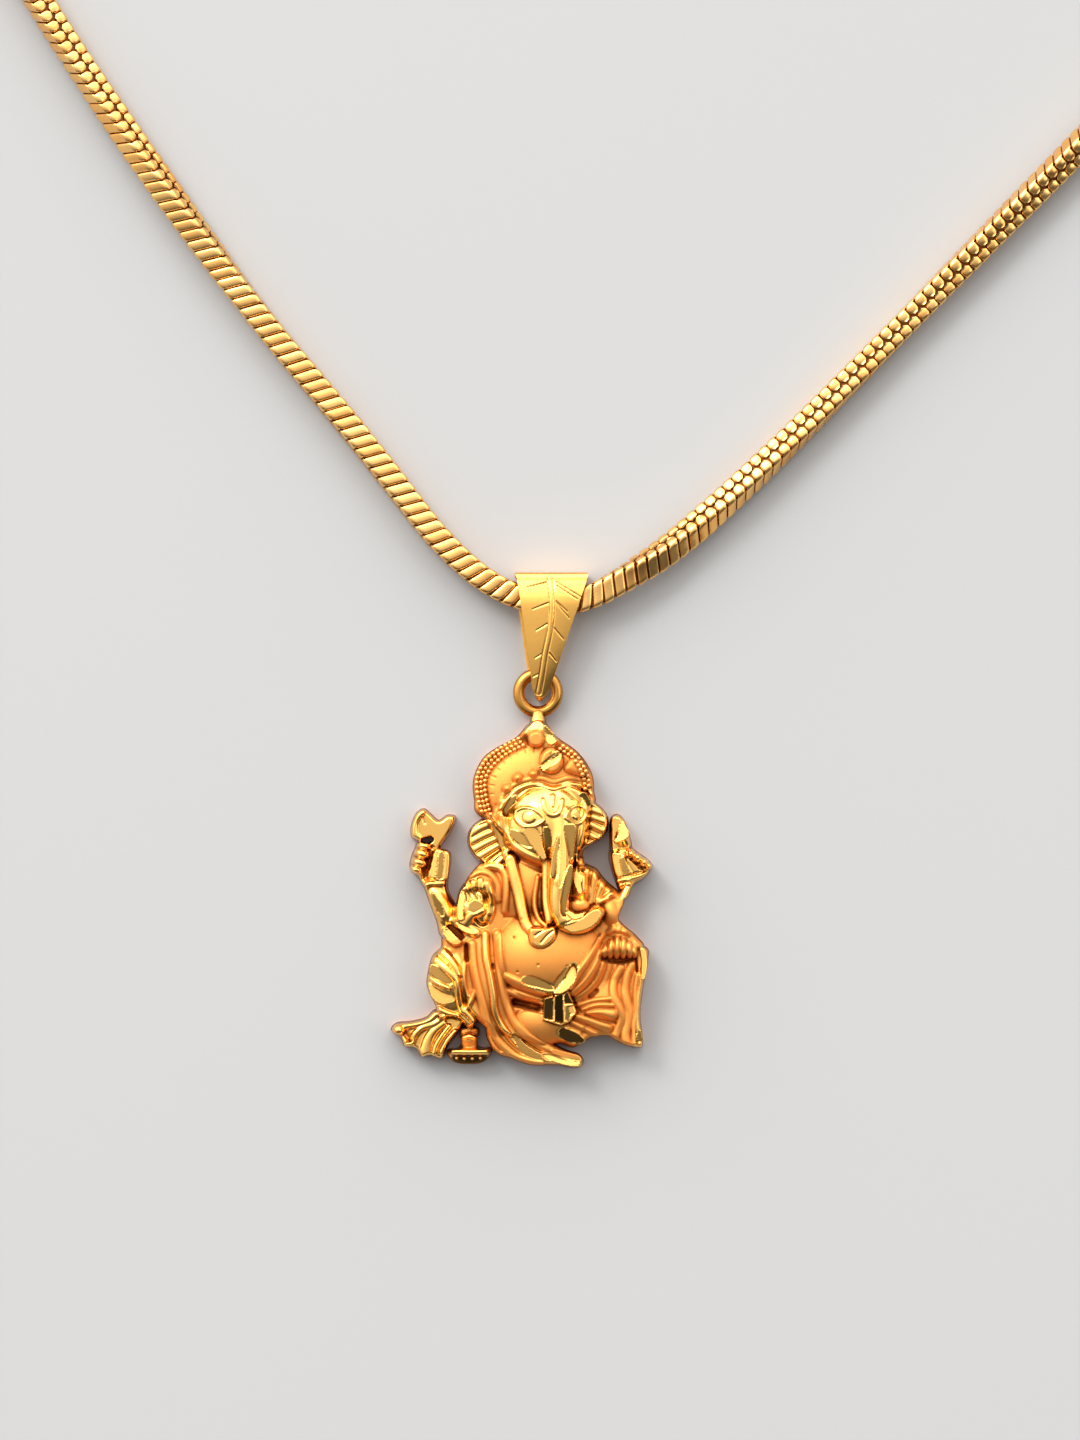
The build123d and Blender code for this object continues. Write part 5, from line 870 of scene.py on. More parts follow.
# Fine grain of blasting and handling: a height for bump and a small change of roughness
grain_group, grain, entry, leave = new_group(
    "skin_grain", [("Size", FLOAT, 0.0001), ("Strength", FLOAT, 1.0)], [("Height", FLOAT), ("Roughness", FLOAT)])
coordinates = grain.add("ShaderNodeTexCoord")
scale = maths(grain, "DIVIDE", 1.0, entry["Size"])
fine = grain.add("ShaderNodeTexNoise", Vector=coordinates.outputs["Object"], Scale=scale, Detail=3.0)
broad = grain.add("ShaderNodeTexNoise", Vector=coordinates.outputs["Object"],
                  Scale=maths(grain, "MULTIPLY", scale, 0.12), Detail=2.0)
centred = maths(grain, "SUBTRACT", fine.outputs["Fac"], 0.5)
grain.feed(leave, "Height", maths(grain, "MULTIPLY", centred, entry["Strength"]))
wandering = maths(grain, "SUBTRACT", broad.outputs["Fac"], 0.5)
grain.feed(leave, "Roughness", maths(grain, "MULTIPLY", wandering, entry["Strength"]))

# Mixes a brown into the gold, broken up a little: painted shade in recesses, grooves and gaps where a layer drives the
# amount, and an even brown tone where the amount is fixed
shade_and_tone_group, shade_and_tone, entry, leave = new_group(
    "recess_shade",
    [("Gold", COLOUR, (1, 0.6, 0.2, 1)), ("Shade", COLOUR, (0.2, 0.07, 0.02, 1)), ("Amount", FLOAT, 0.5)],
    [("Color", COLOUR), ("Mask", FLOAT)])
coordinates = shade_and_tone.add("ShaderNodeTexCoord")
mottle = shade_and_tone.add("ShaderNodeTexNoise", Vector=coordinates.outputs["Object"], Scale=3000.0, Detail=4.0)
uneven = maths(shade_and_tone, "MULTIPLY", entry["Amount"], maths(shade_and_tone, "ADD", mottle.outputs["Fac"], 0.5))
mask = maths(shade_and_tone, "MINIMUM", uneven, 1.0)
shade_and_tone.feed(leave, "Color", mixed(shade_and_tone, mask, entry["Gold"], entry["Shade"]))
shade_and_tone.feed(leave, "Mask", mask)


def new_material(name):
    material = bpy.data.materials.new(name)
    material.use_nodes = True
    nodes = Nodes(material.node_tree)
    shader = material.node_tree.nodes["Principled BSDF"]
    shader.inputs["Metallic"].default_value = 1.0
    return material, nodes, shader


def place_group(nodes, group, **sockets):
    node = nodes.tree.nodes.new("ShaderNodeGroup")
    node.node_tree = group
    for name, value in sockets.items():
        nodes.feed(node, name, value)
    return node.outputs


def read_layer(nodes, name):
    node = nodes.tree.nodes.new("ShaderNodeAttribute")
    node.attribute_type = "GEOMETRY"
    node.attribute_name = name
    return node.outputs["Fac"]


satin_gold = (0.84, 0.345, 0.075, 1)
bright_gold = (1.0, 0.55, 0.135, 1)
# brown for painted shade in recesses and grooves, and for an even tone where mixed by a fixed amount
shade_and_tone_brown = (0.24, 0.06, 0.008, 1)
# near black for the facets' painted dark reflection and painted shade
painted_reflection_black = (0.045, 0.025, 0.008, 1)
cast_gold, nodes, shader = new_material("cast_gold")
polish_layer = read_layer(nodes, "polish")
skin = mixed(nodes, polish_layer, satin_gold, bright_gold)
# the listed facets' colour is painted towards black: painted dark reflection and painted shade
skin = mixed(nodes, read_layer(nodes, "dark"), skin, painted_reflection_black)
# painted shade in the figure's recesses, from the recess layer
shaded = place_group(nodes, shade_and_tone_group, Gold=skin, Shade=shade_and_tone_brown,
                     Amount=maths(nodes, "MULTIPLY", read_layer(nodes, "painted_recess_shade"), 0.70))
nodes.feed(shader, "Base Color", shaded["Color"])
blasted = place_group(nodes, grain_group, Size=0.00009, Strength=1.0)
satin_roughness = maths(nodes, "ADD", 0.58, maths(nodes, "MULTIPLY", blasted["Roughness"], 0.12))
bright_roughness = maths(nodes, "ADD", 0.15, maths(nodes, "MULTIPLY", blasted["Roughness"], 0.10))
change = nodes.add("ShaderNodeMapRange", Value=polish_layer)
nodes.feed(change, "To Min", satin_roughness)
nodes.feed(change, "To Max", bright_roughness)
nodes.feed(shader, "Roughness", change.outputs["Result"])
dullness = maths(nodes, "SUBTRACT", 1.1, polish_layer)
bump = nodes.add("ShaderNodeBump", Strength=0.5, Distance=0.00003,
                 Height=maths(nodes, "MULTIPLY", blasted["Height"], dullness))
nodes.feed(shader, "Normal", bump.outputs["Normal"])
figure_mesh.materials.append(cast_gold)
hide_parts("figure")
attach(figure, "root")


def smooth_object(name, mesh, material):
    """Links a mesh as a smooth-shaded object of the given material."""
    piece = bpy.data.objects.new(name, mesh)
    bpy.context.scene.collection.objects.link(piece)
    mesh.polygons.foreach_set("use_smooth", [True] * len(mesh.polygons))
    mesh.materials.clear()
    mesh.materials.append(material)
    return piece


# The halo's beading: close rows of small cast balls inside the crown's plain rim, three on the left and
# two on the right, cast with the figure and left satin
bead_pitch = 0.98                # squares
bead_radius = 0.47
bead_lift = 0.22                 # how far a ball's middle stands above the ground, in squares
bead_rows = [
    [(18.2, 51.4), (17.4, 54.3), (17.3, 58.2), (19.1, 61.7), (22.5, 64.3), (26.2, 66.2)],
    [(19.1, 51.0), (18.2, 54.4), (18.1, 58.0), (19.8, 61.2), (22.9, 63.6), (26.4, 65.4)],
    [(20.0, 50.8), (19.0, 54.5), (18.9, 57.8), (20.5, 60.6), (23.3, 62.9), (26.6, 64.6)],
    [(34.0, 64.7), (37.0, 62.4), (39.1, 58.9), (39.6, 55.6)],
    [(33.8, 63.8), (36.6, 61.7), (38.3, 58.6), (38.8, 55.8)],
]
bead_places = []
for number, row in enumerate(bead_rows):
    line = flowing(row, steps=40)
    travelled = np.concatenate([[0], np.cumsum(np.linalg.norm(np.diff(line, axis=0), axis=1))])
    stations = np.arange(number % 2 * bead_pitch / 2, travelled[-1], bead_pitch)
    bead_places += list(zip(np.interp(stations, travelled, line[:, 0]), np.interp(stations, travelled, line[:, 1])))
bead_sizes = [bead_radius] * len(bead_places)
pedestal_dots = [(13.2, 2.2), (14.7, 2.1), (16.3, 2.1), (17.9, 2.2)]
pedestal_dot_radius = 0.36
bead_places = np.array(bead_places + pedestal_dots)
bead_sizes += [pedestal_dot_radius] * len(pedestal_dots)
bead_heights = relief(bead_places, edge_depth(bead_places)) * figure_depth
beads = bmesh.new()
for (x, y), ground, radius in zip(bead_places, bead_heights, bead_sizes):
    seat = Matrix.Translation((*on_grid(x, y), ground + bead_lift * square))
    bmesh.ops.create_icosphere(beads, subdivisions=2, radius=radius * square, matrix=seat)
bead_mesh = bpy.data.meshes.new("halo_beads")
beads.to_mesh(bead_mesh)
beads.free()


# Polished yellow gold of the bail, the ring and the clasp
def polished_gold(name, colour, roughness, tone):
    material, nodes, shader = new_material(name)
    handling = place_group(nodes, grain_group, Size=0.0002, Strength=1.0)
    shaded = place_group(nodes, shade_and_tone_group, Gold=colour, Shade=shade_and_tone_brown, Amount=tone)
    nodes.feed(shader, "Base Color", shaded["Color"])
    nodes.feed(shader, "Roughness", maths(nodes, "ADD", roughness, maths(nodes, "MULTIPLY", handling["Roughness"], 0.12)))
    bump = nodes.add("ShaderNodeBump", Strength=0.25, Distance=0.00002, Height=handling["Height"])
    nodes.feed(shader, "Normal", bump.outputs["Normal"])
    return material


bead_gold = polished_gold("bead_gold", (0.97, 0.50, 0.14, 1), 0.40, 0.04)
halo_beads = smooth_object("halo_beads", bead_mesh, bead_gold)
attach(halo_beads, "root")

# The jump ring: one closed turn of round wire, soldered to the tongue at the crown's tip
ring_outer = 0.0040
ring_wire = 0.00094
ring_lift = 0.0009
ring_middle_radius = (ring_outer - ring_wire) / 2
ring_x, tongue_y = on_grid(29.4, 71.2)
ring_y = tongue_y + ring_middle_radius
ring_steps, wire_steps = 96, 24
around = np.arange(ring_steps) / ring_steps * 2 * math.pi
section = np.arange(wire_steps) / wire_steps * 2 * math.pi
turn, roll = np.meshgrid(around, section, indexing="ij")
reach = ring_middle_radius + ring_wire / 2 * np.cos(roll)
ring_points = np.stack([ring_x + reach * np.cos(turn), ring_y + reach * np.sin(turn),
                        ring_lift + ring_wire / 2 * np.sin(roll)], -1).reshape(-1, 3)
ring_faces = [(i * wire_steps + j, (i + 1) % ring_steps * wire_steps + j,
               (i + 1) % ring_steps * wire_steps + (j + 1) % wire_steps, i * wire_steps + (j + 1) % wire_steps)
              for i in range(ring_steps) for j in range(wire_steps)]
ring_mesh = bpy.data.meshes.new("jump_ring")
ring_mesh.from_pydata(ring_points.tolist(), [], ring_faces)
ring_gold = polished_gold("ring_gold", (0.60, 0.285, 0.06, 1), 0.26, 0.12)
jump_ring = smooth_object("jump_ring", ring_mesh, ring_gold)
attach(jump_ring, "root")

# The bail: a strip of gold sheet folded over the chain and through the ring, so that both ends meet
# behind its tip. The front is cut to a leaf, pressed a little hollow at its sides and engraved with veins
bail_low, bail_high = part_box("bail")
bail_wall = 0.00035
leaf_heights = [(0, 0.00225), (0.2, 0.00268), (0.4, 0.00296), (0.6, 0.00313), (0.76, 0.00321), (0.84, 0.00318),
                (0.90, 0.00308), (0.95, 0.00294), (1.0, 0.00276)]  # of the front leaf, from its tip to the top fold
bail_corner = 0.0006             # outside radius of the two top bends
tip_bend = 0.0005
back_set_over = 0.00022          # the back leaf shows past the front one's left side, between two places
back_shows = (0.0172, 0.0250)
back_fade = 0.0008
leaf_crown = 0.00012             # and across it, at its sides
vein_half_width = 0.00009
vein_depth = 0.00008
burr_height = 0.00003
rib_half_width = 0.00020         # the midrib stands between two lines
LeafRow = namedtuple("LeafRow", "y left right")
leaf_rows = [LeafRow(26.17, -1.62, 4.20), LeafRow(25.68, -1.42, 4.15), LeafRow(23.80, -1.14, 3.54),
             LeafRow(18.10, -0.36, 1.60), LeafRow(16.81, -0.20, 1.14), LeafRow(16.37, -0.02, 0.88),
             LeafRow(16.05, 0.14, 0.60), LeafRow(15.87, 0.26, 0.42)]
Vein = namedtuple("Vein", "start end")
veins = [
    Vein((0.96, 25.4), (-0.64, 25.0)), Vein((1.04, 23.7), (-0.20, 23.2)), Vein((1.08, 22.1), (0.08, 21.5)),
    Vein((0.80, 19.8), (0.00, 19.3)), Vein((0.56, 18.2), (-0.16, 17.8)), Vein((1.73, 25.4), (3.68, 24.2)),
    Vein((1.76, 25.1), (3.40, 24.0)), Vein((1.73, 23.7), (2.72, 22.5)), Vein((1.62, 23.9), (2.60, 23.0)),
    Vein((1.44, 21.8), (2.28, 20.8)), Vein((1.08, 19.8), (1.73, 19.0)),
]
midrib = flowing([(1.18, 25.8), (1.36, 23.7), (1.22, 21.7), (0.80, 19.6), (0.56, 18.0), (0.30, 16.6)])


def bail_profile():
    """The folded strip's outside seen from the side, as places and outward ways, from the back round the tip."""
    top_y, tip_y = bail_high.y, bail_low.y
    tip_height, lift = leaf_heights[0][1], leaf_heights[-1][1]
    back = [(y, 0.0) for y in np.linspace(top_y - bail_corner, tip_y + tip_bend, 26)]
    tip = [(tip_y + tip_bend + tip_bend * math.cos(angle), tip_height / 2 * (1 + math.sin(angle)))
           for angle in np.radians(np.linspace(-90, -270, 30)[1:])]
    side_line = flowing(leaf_heights, steps=20)
    share = np.linspace(0, 1, 150)[1:]
    front_y = tip_y + tip_bend + share * (top_y - bail_corner - tip_y - tip_bend)
    front_z = np.interp(share, side_line[:, 0], side_line[:, 1])
    bend = [(top_y - bail_corner + bail_corner * math.sin(angle), lift - bail_corner + bail_corner * math.cos(angle))
            for angle in np.radians(np.linspace(0, 90, 12)[1:])]
    down = [(top_y, z) for z in np.linspace(lift - bail_corner, bail_corner, 8)[1:]]
    low_bend = [(top_y - bail_corner + bail_corner * math.cos(angle), bail_corner * (1 - math.sin(angle)))
                for angle in np.radians(np.linspace(0, 90, 8)[1:-1])]
    points = np.array(back + tip + list(zip(front_y, front_z)) + bend + down + low_bend)
    run = np.roll(points, -1, axis=0) - np.roll(points, 1, axis=0)
    run /= np.linalg.norm(run, axis=1, keepdims=True)
    return np.column_stack([points, -run[:, 1], run[:, 0]])


def engraved(x, y):
    """How far the engraver has lowered or raised the front leaf at each place, given in metres."""
    spots = np.column_stack([x, y]) * 1000
    lowered = np.zeros(len(spots))
    lines = [(vein.start, vein.end) for vein in veins]
    for start, end in lines:
        away, share = from_span(spots, np.array(start), np.array(end))
        width = vein_half_width * 1000 * (1 - 0.5 * share)
        lowered = np.minimum(lowered, -vein_depth * np.clip(1 - away / width, 0, 1))
        lowered += burr_height * np.exp(-((away - width * 1.5) / (0.4 * width)) ** 2)
    rib_away = np.min([from_span(spots, start, end)[0] for start, end in zip(midrib, midrib[1:])], axis=0)
    width = rib_half_width * 1000
    groove = np.clip(1 - np.abs(rib_away - width) / 0.09, 0, 1)
    lowered = np.where(rib_away < width * 1.5, 0, lowered)
    return lowered - vein_depth * 0.7 * groove + 0.00004 * np.clip(1 - (rib_away / width) ** 2, 0, 1)


profile = bail_profile()
across_steps = 84
leaf_y = np.array([row.y for row in leaf_rows])[::-1] / 1000
leaf_left = np.array([row.left for row in leaf_rows])[::-1] / 1000
leaf_right = np.array([row.right for row in leaf_rows])[::-1] / 1000
reach_y, reach_z, way_y, way_z = profile.T
set_over = back_set_over * np.clip((reach_y - back_shows[0]) / back_fade, 0, 1)
set_over *= np.clip((back_shows[1] - reach_y) / back_fade, 0, 1)
left = np.interp(reach_y, leaf_y, leaf_left) - set_over * np.clip(-way_z, 0, 1)
right = np.interp(reach_y, leaf_y, leaf_right)
share = np.linspace(0, 1, across_steps)
x = left[:, None] + (right - left)[:, None] * share
side_drop = leaf_crown * (2 * share - 1) ** 2 * np.clip(way_z, 0, 1)[:, None]
outer = np.stack([x, reach_y[:, None] - way_y[:, None] * side_drop, reach_z[:, None] - way_z[:, None] * side_drop], -1)
is_front = way_z > 0.9
work = np.zeros_like(x)
work[is_front] = engraved(x[is_front].ravel(), np.broadcast_to(reach_y[is_front, None], x[is_front].shape).ravel()
                          ).reshape(x[is_front].shape)
way = np.stack([np.zeros_like(way_y), way_y, way_z], -1)[:, None]
inner = outer - way * bail_wall
outer = outer + way * work[..., None]
turns, across_count = x.shape
grid = np.arange(turns * across_count).reshape(turns, across_count)
after = np.roll(grid, -1, axis=0)
size = turns * across_count
skin_faces = np.stack([grid[:, :-1], grid[:, 1:], after[:, 1:], after[:, :-1]], -1).reshape(-1, 4)
lining = skin_faces[:, ::-1] + size
left_rim = np.stack([grid[:, 0], after[:, 0], after[:, 0] + size, grid[:, 0] + size], -1)
right_rim = np.stack([grid[:, -1], grid[:, -1] + size, after[:, -1] + size, after[:, -1]], -1)
bail_mesh = bpy.data.meshes.new("leaf_bail")
bail_mesh.from_pydata(np.vstack([outer.reshape(-1, 3), inner.reshape(-1, 3)]).tolist(), [],
                      np.vstack([skin_faces, lining, left_rim, right_rim]).tolist())
# painted shade in the engraved veins and the midrib's grooves: the cut layer darkens the colour where the engraving
# lies low
painted_groove_shade_layer = bail_mesh.attributes.new("cut", "FLOAT", "POINT")
painted_groove_shade_layer.data.foreach_set("value", np.concatenate([np.clip(-work.ravel() / vein_depth, 0, 1), np.zeros(size)]))

bail_gold, nodes, shader = new_material("bail_gold")
handling = place_group(nodes, grain_group, Size=0.0004, Strength=1.0)
# painted shade in the engraved grooves, from the cut layer
shaded = place_group(nodes, shade_and_tone_group, Gold=(1.0, 0.53, 0.12, 1), Shade=shade_and_tone_brown,
                     Amount=maths(nodes, "MULTIPLY", read_layer(nodes, "cut"), 0.8))
nodes.feed(shader, "Base Color", shaded["Color"])
nodes.feed(shader, "Roughness", maths(nodes, "ADD", 0.24, maths(nodes, "MULTIPLY", handling["Roughness"], 0.16)))
bump = nodes.add("ShaderNodeBump", Strength=0.25, Distance=0.00002, Height=handling["Height"])
nodes.feed(shader, "Normal", bump.outputs["Normal"])
leaf_bail = smooth_object("leaf_bail", bail_mesh, bail_gold)
bail_mesh.set_sharp_from_angle(angle=math.radians(50))
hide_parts("bail")
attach(leaf_bail, "root")

# The clasp at the nape: two square caps soldered on the chain's ends, joined by a bent wire hook
clasp_gold = polished_gold("clasp_gold", (1.0, 0.60, 0.20, 1), 0.16, 0.05)
for name in ("end_cap_left", "end_cap_right", "s_hook"):
    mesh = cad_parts[name].data
    mesh.materials.clear()
    mesh.materials.append(clasp_gold)

# The chain: a square snake chain, closed round the neck. Each of its plates is bent from a strip of drawn
# gold like a staple: the plates of the front and of the back are laid in turn, and their legs meet on the sides
chain_side = 0.0020
chain_corner = 0.00035
plate_pitch = 0.00097
plate_width = 0.00090            # along the chain; the rest of the pitch is a dark gap
plate_thickness = 0.00026
plate_slant = math.tan(math.radians(22))
waist_share = 0.16               # the strip is nipped in where it bends
waist_reach = 0.00016
leg_gap = 0.00006                # between the legs of front and back plates, on the sides
core_side = 0.00145
nape_point = (0.0181, 0.2103)
nape_turn = math.radians(-6)
cap_gap = 0.0132
last_run = 0.013
cap_lift = 0.00126
RoutePoint = namedtuple("RoutePoint", "x y lift turn")
chain_route = [
    RoutePoint(-25.4, 204.8, 1.0, 90), RoutePoint(-49.0, 186.3, 1.0, 90), RoutePoint(-65.9, 153.9, 1.0, 90),
    RoutePoint(-65.6, 113.2, 1.0, 88), RoutePoint(-46.4, 82.8, 1.0, 78), RoutePoint(-35.4, 65.0, 1.0, 64),
    RoutePoint(-23.0, 47.6, 1.0, 4), RoutePoint(-15.2, 38.4, 1.0, -8), RoutePoint(-10.8, 32.8, 1.12, -8),
    RoutePoint(-7.8, 28.9, 1.3, -4), RoutePoint(-4.4, 25.75, 1.46, 0), RoutePoint(-1.5, 24.2, 1.46, 0),
    RoutePoint(1.4, 23.65, 1.46, 0), RoutePoint(4.2, 24.0, 1.46, 0), RoutePoint(7.3, 25.75, 1.46, 10),
    RoutePoint(10.6, 27.85, 1.3, 36), RoutePoint(15.2, 31.8, 1.12, 62), RoutePoint(21.2, 37.5, 1.0, 76),
    RoutePoint(32.8, 49.4, 1.0, 96), RoutePoint(49.2, 66.0, 1.0, 128), RoutePoint(79.8, 97.9, 1.0, 180),
    RoutePoint(88.6, 137.6, 1.0, 180), RoutePoint(78.8, 172.9, 1.0, 180), RoutePoint(59.5, 195.8, 1.0, 180),
]


def nape_place(x):
    """A place on the straight line through the clasp, x along it from the middle."""
    return (nape_point[0] + x * math.cos(nape_turn), nape_point[1] + x * math.sin(nape_turn), cap_lift)


route = [nape_place(-cap_gap / 2), nape_place(-cap_gap / 2 - last_run)]
route += [(point.x / 1000, point.y / 1000, point.lift / 1000) for point in chain_route]
route += [nape_place(cap_gap / 2 + last_run), nape_place(cap_gap / 2)]
route_turns = [90, 90] + [point.turn for point in chain_route] + [180, 180]

line_data = bpy.data.curves.new("chain_line", "CURVE")
line_data.dimensions = "3D"
spline = line_data.splines.new("NURBS")
spline.points.add(len(route) - 1)
for point, place in zip(spline.points, route):
    point.co = (*place, 1)
spline.order_u = 3
spline.use_endpoint_u = True
spline.resolution_u = 48
line_object = bpy.data.objects.new("chain_line", line_data)
line_mesh = bpy.data.meshes.new_from_object(line_object)
line = np.array([vertex.co for vertex in line_mesh.vertices])
bpy.data.objects.remove(line_object)
travelled = np.concatenate([[0], np.cumsum(np.linalg.norm(np.diff(line, axis=0), axis=1))])
chain_length = travelled[-1]
print("chain length along the smooth line", chain_length)
stations_of_turns = [travelled[np.linalg.norm(line - np.array(place), axis=1).argmin()] for place in route]


def chain_frame(station):
    """Middle, forward, side and outward directions of the chain at each station, with its twist."""
    near = 0.0002
    middle, ahead, behind = (np.stack([np.interp(station + step, travelled, line[:, axis]) for axis in range(3)], -1)
                             for step in (0, near, -near))
    forward = ahead - behind
    forward /= np.linalg.norm(forward, axis=-1, keepdims=True)
    side = np.cross([0, 0, 1], forward)
    side /= np.linalg.norm(side, axis=-1, keepdims=True)
    up = np.cross(forward, side)
    turn = np.radians(np.interp(station, stations_of_turns, route_turns))[..., None]
    outward = np.cos(turn) * up - np.sin(turn) * side
    across = np.cos(turn) * side + np.sin(turn) * up
    flat_half = chain_side / 2 - chain_corner
    tall = flat_half * (np.abs(np.cos(turn)) + np.abs(np.sin(turn))) + chain_corner
    middle = middle + np.array([0, 0, 1]) * (tall - chain_side / 2)
    return middle, forward, across, outward


def staple_path(bend_steps, run_steps):
    """Places across and out of the chain along one plate, from leg end to leg end, and the outward way there."""
    half, corner = chain_side / 2, chain_corner
    leg_end = leg_gap / 2
    leg = np.linspace(leg_end, half - corner, run_steps)
    angle = np.linspace(0, math.pi / 2, bend_steps + 2)[1:-1]
    top = np.linspace(-(half - corner), half - corner, run_steps * 2)
    left_leg = np.column_stack([np.full_like(leg, -half), leg, np.full_like(leg, -1), np.zeros_like(leg)])
    left_bend = np.column_stack([-(half - corner) - corner * np.cos(angle), half - corner + corner * np.sin(angle),
                                 -np.cos(angle), np.sin(angle)])
    face = np.column_stack([top, np.full_like(top, half), np.zeros_like(top), np.ones_like(top)])
    right_bend, right_leg = left_bend[::-1] * (-1, 1, -1, 1), left_leg[::-1] * (-1, 1, -1, 1)
    return np.vstack([left_leg, left_bend, face, right_bend, right_leg])


def plates_mesh(name, stations, bend_steps, run_steps, arch_steps):
    """All plates at the given stations, those of the front and of the back, as one mesh."""
    path = staple_path(bend_steps, run_steps)
    length_here = np.concatenate([[0], np.cumsum(np.linalg.norm(np.diff(path[:, :2], axis=0), axis=1))])
    end_reach = plate_width * 0.24
    to_end = np.minimum(length_here, length_here[-1] - length_here)
    narrow = np.sqrt(np.clip(1 - (1 - np.clip(to_end / end_reach, 0, 1)) ** 2, 0.16, 1))
    leg_length = chain_side / 2 - leg_gap / 2 - chain_corner * 0.2
    narrow *= 1 - waist_share * np.exp(-((to_end - leg_length) / waist_reach) ** 2)
    arch = np.linspace(0, math.pi, arch_steps)
    arch_along = np.concatenate([-np.sign(np.cos(arch)) * np.abs(np.cos(arch)) ** 0.55, [0.8, -0.8]]) / 2
    arch_rise = np.concatenate([np.sin(arch) ** 0.5 - 1, [-1.0, -1.0]])
    vertices = []
    ring = len(arch_along)
    random = np.random.default_rng(7)
    tones = []
    for station in stations:
        for back in (0, 1):
            lean = random.normal(0, 0.000012)
            here = station + back * plate_pitch / 2
            flip = -1 if back else 1
            shift = plate_slant * np.clip(path[:, 0], -chain_side / 2, chain_side / 2) * flip
            centre_station = here + shift + lean
            middle, forward, across, outward = chain_frame(centre_station)
            outward = outward * flip
            base = middle + path[:, :1] * across + path[:, 1:2] * outward
            normal = path[:, 2:3] * across + path[:, 3:4] * outward
            sink = random.uniform(0, 0.00002)
            points = (base[:, None]
                      + forward[:, None] * (arch_along[:, None] * plate_width * narrow[:, None, None])
                      + normal[:, None] * (arch_rise[:, None] * plate_thickness * (0.4 + 0.6 * narrow[:, None, None])
                                           - sink - (1 - narrow[:, None, None]) * 0.0001))
            vertices.append(points.reshape(-1, 3))
            tones.append(random.uniform(0, 1))
    count = len(path)
    i, j = np.meshgrid(np.arange(count - 1), np.arange(ring), indexing="ij")
    quad = np.stack([i * ring + j, i * ring + (j + 1) % ring, (i + 1) * ring + (j + 1) % ring, (i + 1) * ring + j], -1)
    quad = quad.reshape(-1, 4)
    all_points = np.vstack(vertices)
    size = count * ring
    quads = (quad[None] + (np.arange(len(vertices)) * size)[:, None, None]).reshape(-1, 4)
    caps = []
    for number in range(len(vertices)):
        caps.append([number * size + k for k in range(ring)])
        caps.append([number * size + (count - 1) * ring + k for k in reversed(range(ring))])
    mesh = bpy.data.meshes.new(name)
    mesh.from_pydata(all_points.tolist(), [], quads.tolist() + caps)
    layer = mesh.attributes.new("tone", "FLOAT", "POINT")
    layer.data.foreach_set("value", np.repeat(tones, size))
    # painted shade in the gaps: the low ends of each plate's arch are marked to be darkened
    layer = mesh.attributes.new("painted_gap_shade", "FLOAT", "POINT")
    painted_gap_shade_share = np.tile(np.clip((-arch_rise - 0.45) * 2.5, 0, 1), count * len(vertices))
    layer.data.foreach_set("value", painted_gap_shade_share)
    return mesh


chain_gold, nodes, shader = new_material("chain_gold")
tone = read_layer(nodes, "tone")
drawn = place_group(nodes, grain_group, Size=0.00012, Strength=1.0)
colour = mixed(nodes, tone, (1.0, 0.60, 0.20, 1), (0.97, 0.50, 0.14, 1))
# painted shade at the plates' low ends, mixed towards a dark brown
shaded = place_group(nodes, shade_and_tone_group, Gold=colour, Shade=(0.16, 0.05, 0.012, 1),
                     Amount=maths(nodes, "MULTIPLY", read_layer(nodes, "painted_gap_shade"), 1.3))
nodes.feed(shader, "Base Color", shaded["Color"])
nodes.feed(shader, "Roughness", maths(nodes, "ADD", 0.26, maths(nodes, "MULTIPLY", drawn["Roughness"], 0.2)))
bump = nodes.add("ShaderNodeBump", Strength=0.3, Distance=0.00001, Height=drawn["Height"])
nodes.feed(shader, "Normal", bump.outputs["Normal"])

first_station, last_station = 0.0004, chain_length - 0.0009
stations = np.arange(first_station, last_station, plate_pitch)
middle, _, _, _ = chain_frame(stations)
seen = (middle[:, 1] < 0.078) & (middle[:, 0] > -0.048) & (middle[:, 0] < 0.056)
print("plates seen", seen.sum(), "hidden", (~seen).sum())
chain_seen = smooth_object("chain_front", plates_mesh("chain_front", stations[seen], 4, 4, 9), chain_gold)
chain_hidden = smooth_object("chain_back", plates_mesh("chain_back", stations[~seen], 2, 2, 6), chain_gold)

core_stations = np.linspace(0, chain_length, 900)
middle, forward, across, outward = chain_frame(core_stations)
half = core_side / 2
corners = [(-half, -half), (half, -half), (half, half), (-half, half)]
core_points = np.stack([middle + a * across + b * outward for a, b in corners], 1).reshape(-1, 3)
core_faces = [(i * 4 + j, i * 4 + (j + 1) % 4, (i + 1) * 4 + (j + 1) % 4, (i + 1) * 4 + j)
              for i in range(len(core_stations) - 1) for j in range(4)]
core_faces += [(3, 2, 1, 0), tuple(len(core_points) - 4 + k for k in range(4))]
core_mesh = bpy.data.meshes.new("chain_core")
core_mesh.from_pydata(core_points.tolist(), [], core_faces)
# the core is coloured nearly black: painted shade seen through the gaps between the plates
core_painted_shade = polished_gold("core_painted_shade", (0.10, 0.04, 0.012, 1), 0.5, 0.4)
chain_core = bpy.data.objects.new("chain_core", core_mesh)
bpy.context.scene.collection.objects.link(chain_core)
core_mesh.materials.append(core_painted_shade)
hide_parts("chain")
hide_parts("chain")
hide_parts("chain")
for piece in (chain_seen, chain_hidden, chain_core):
    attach(piece, "root")

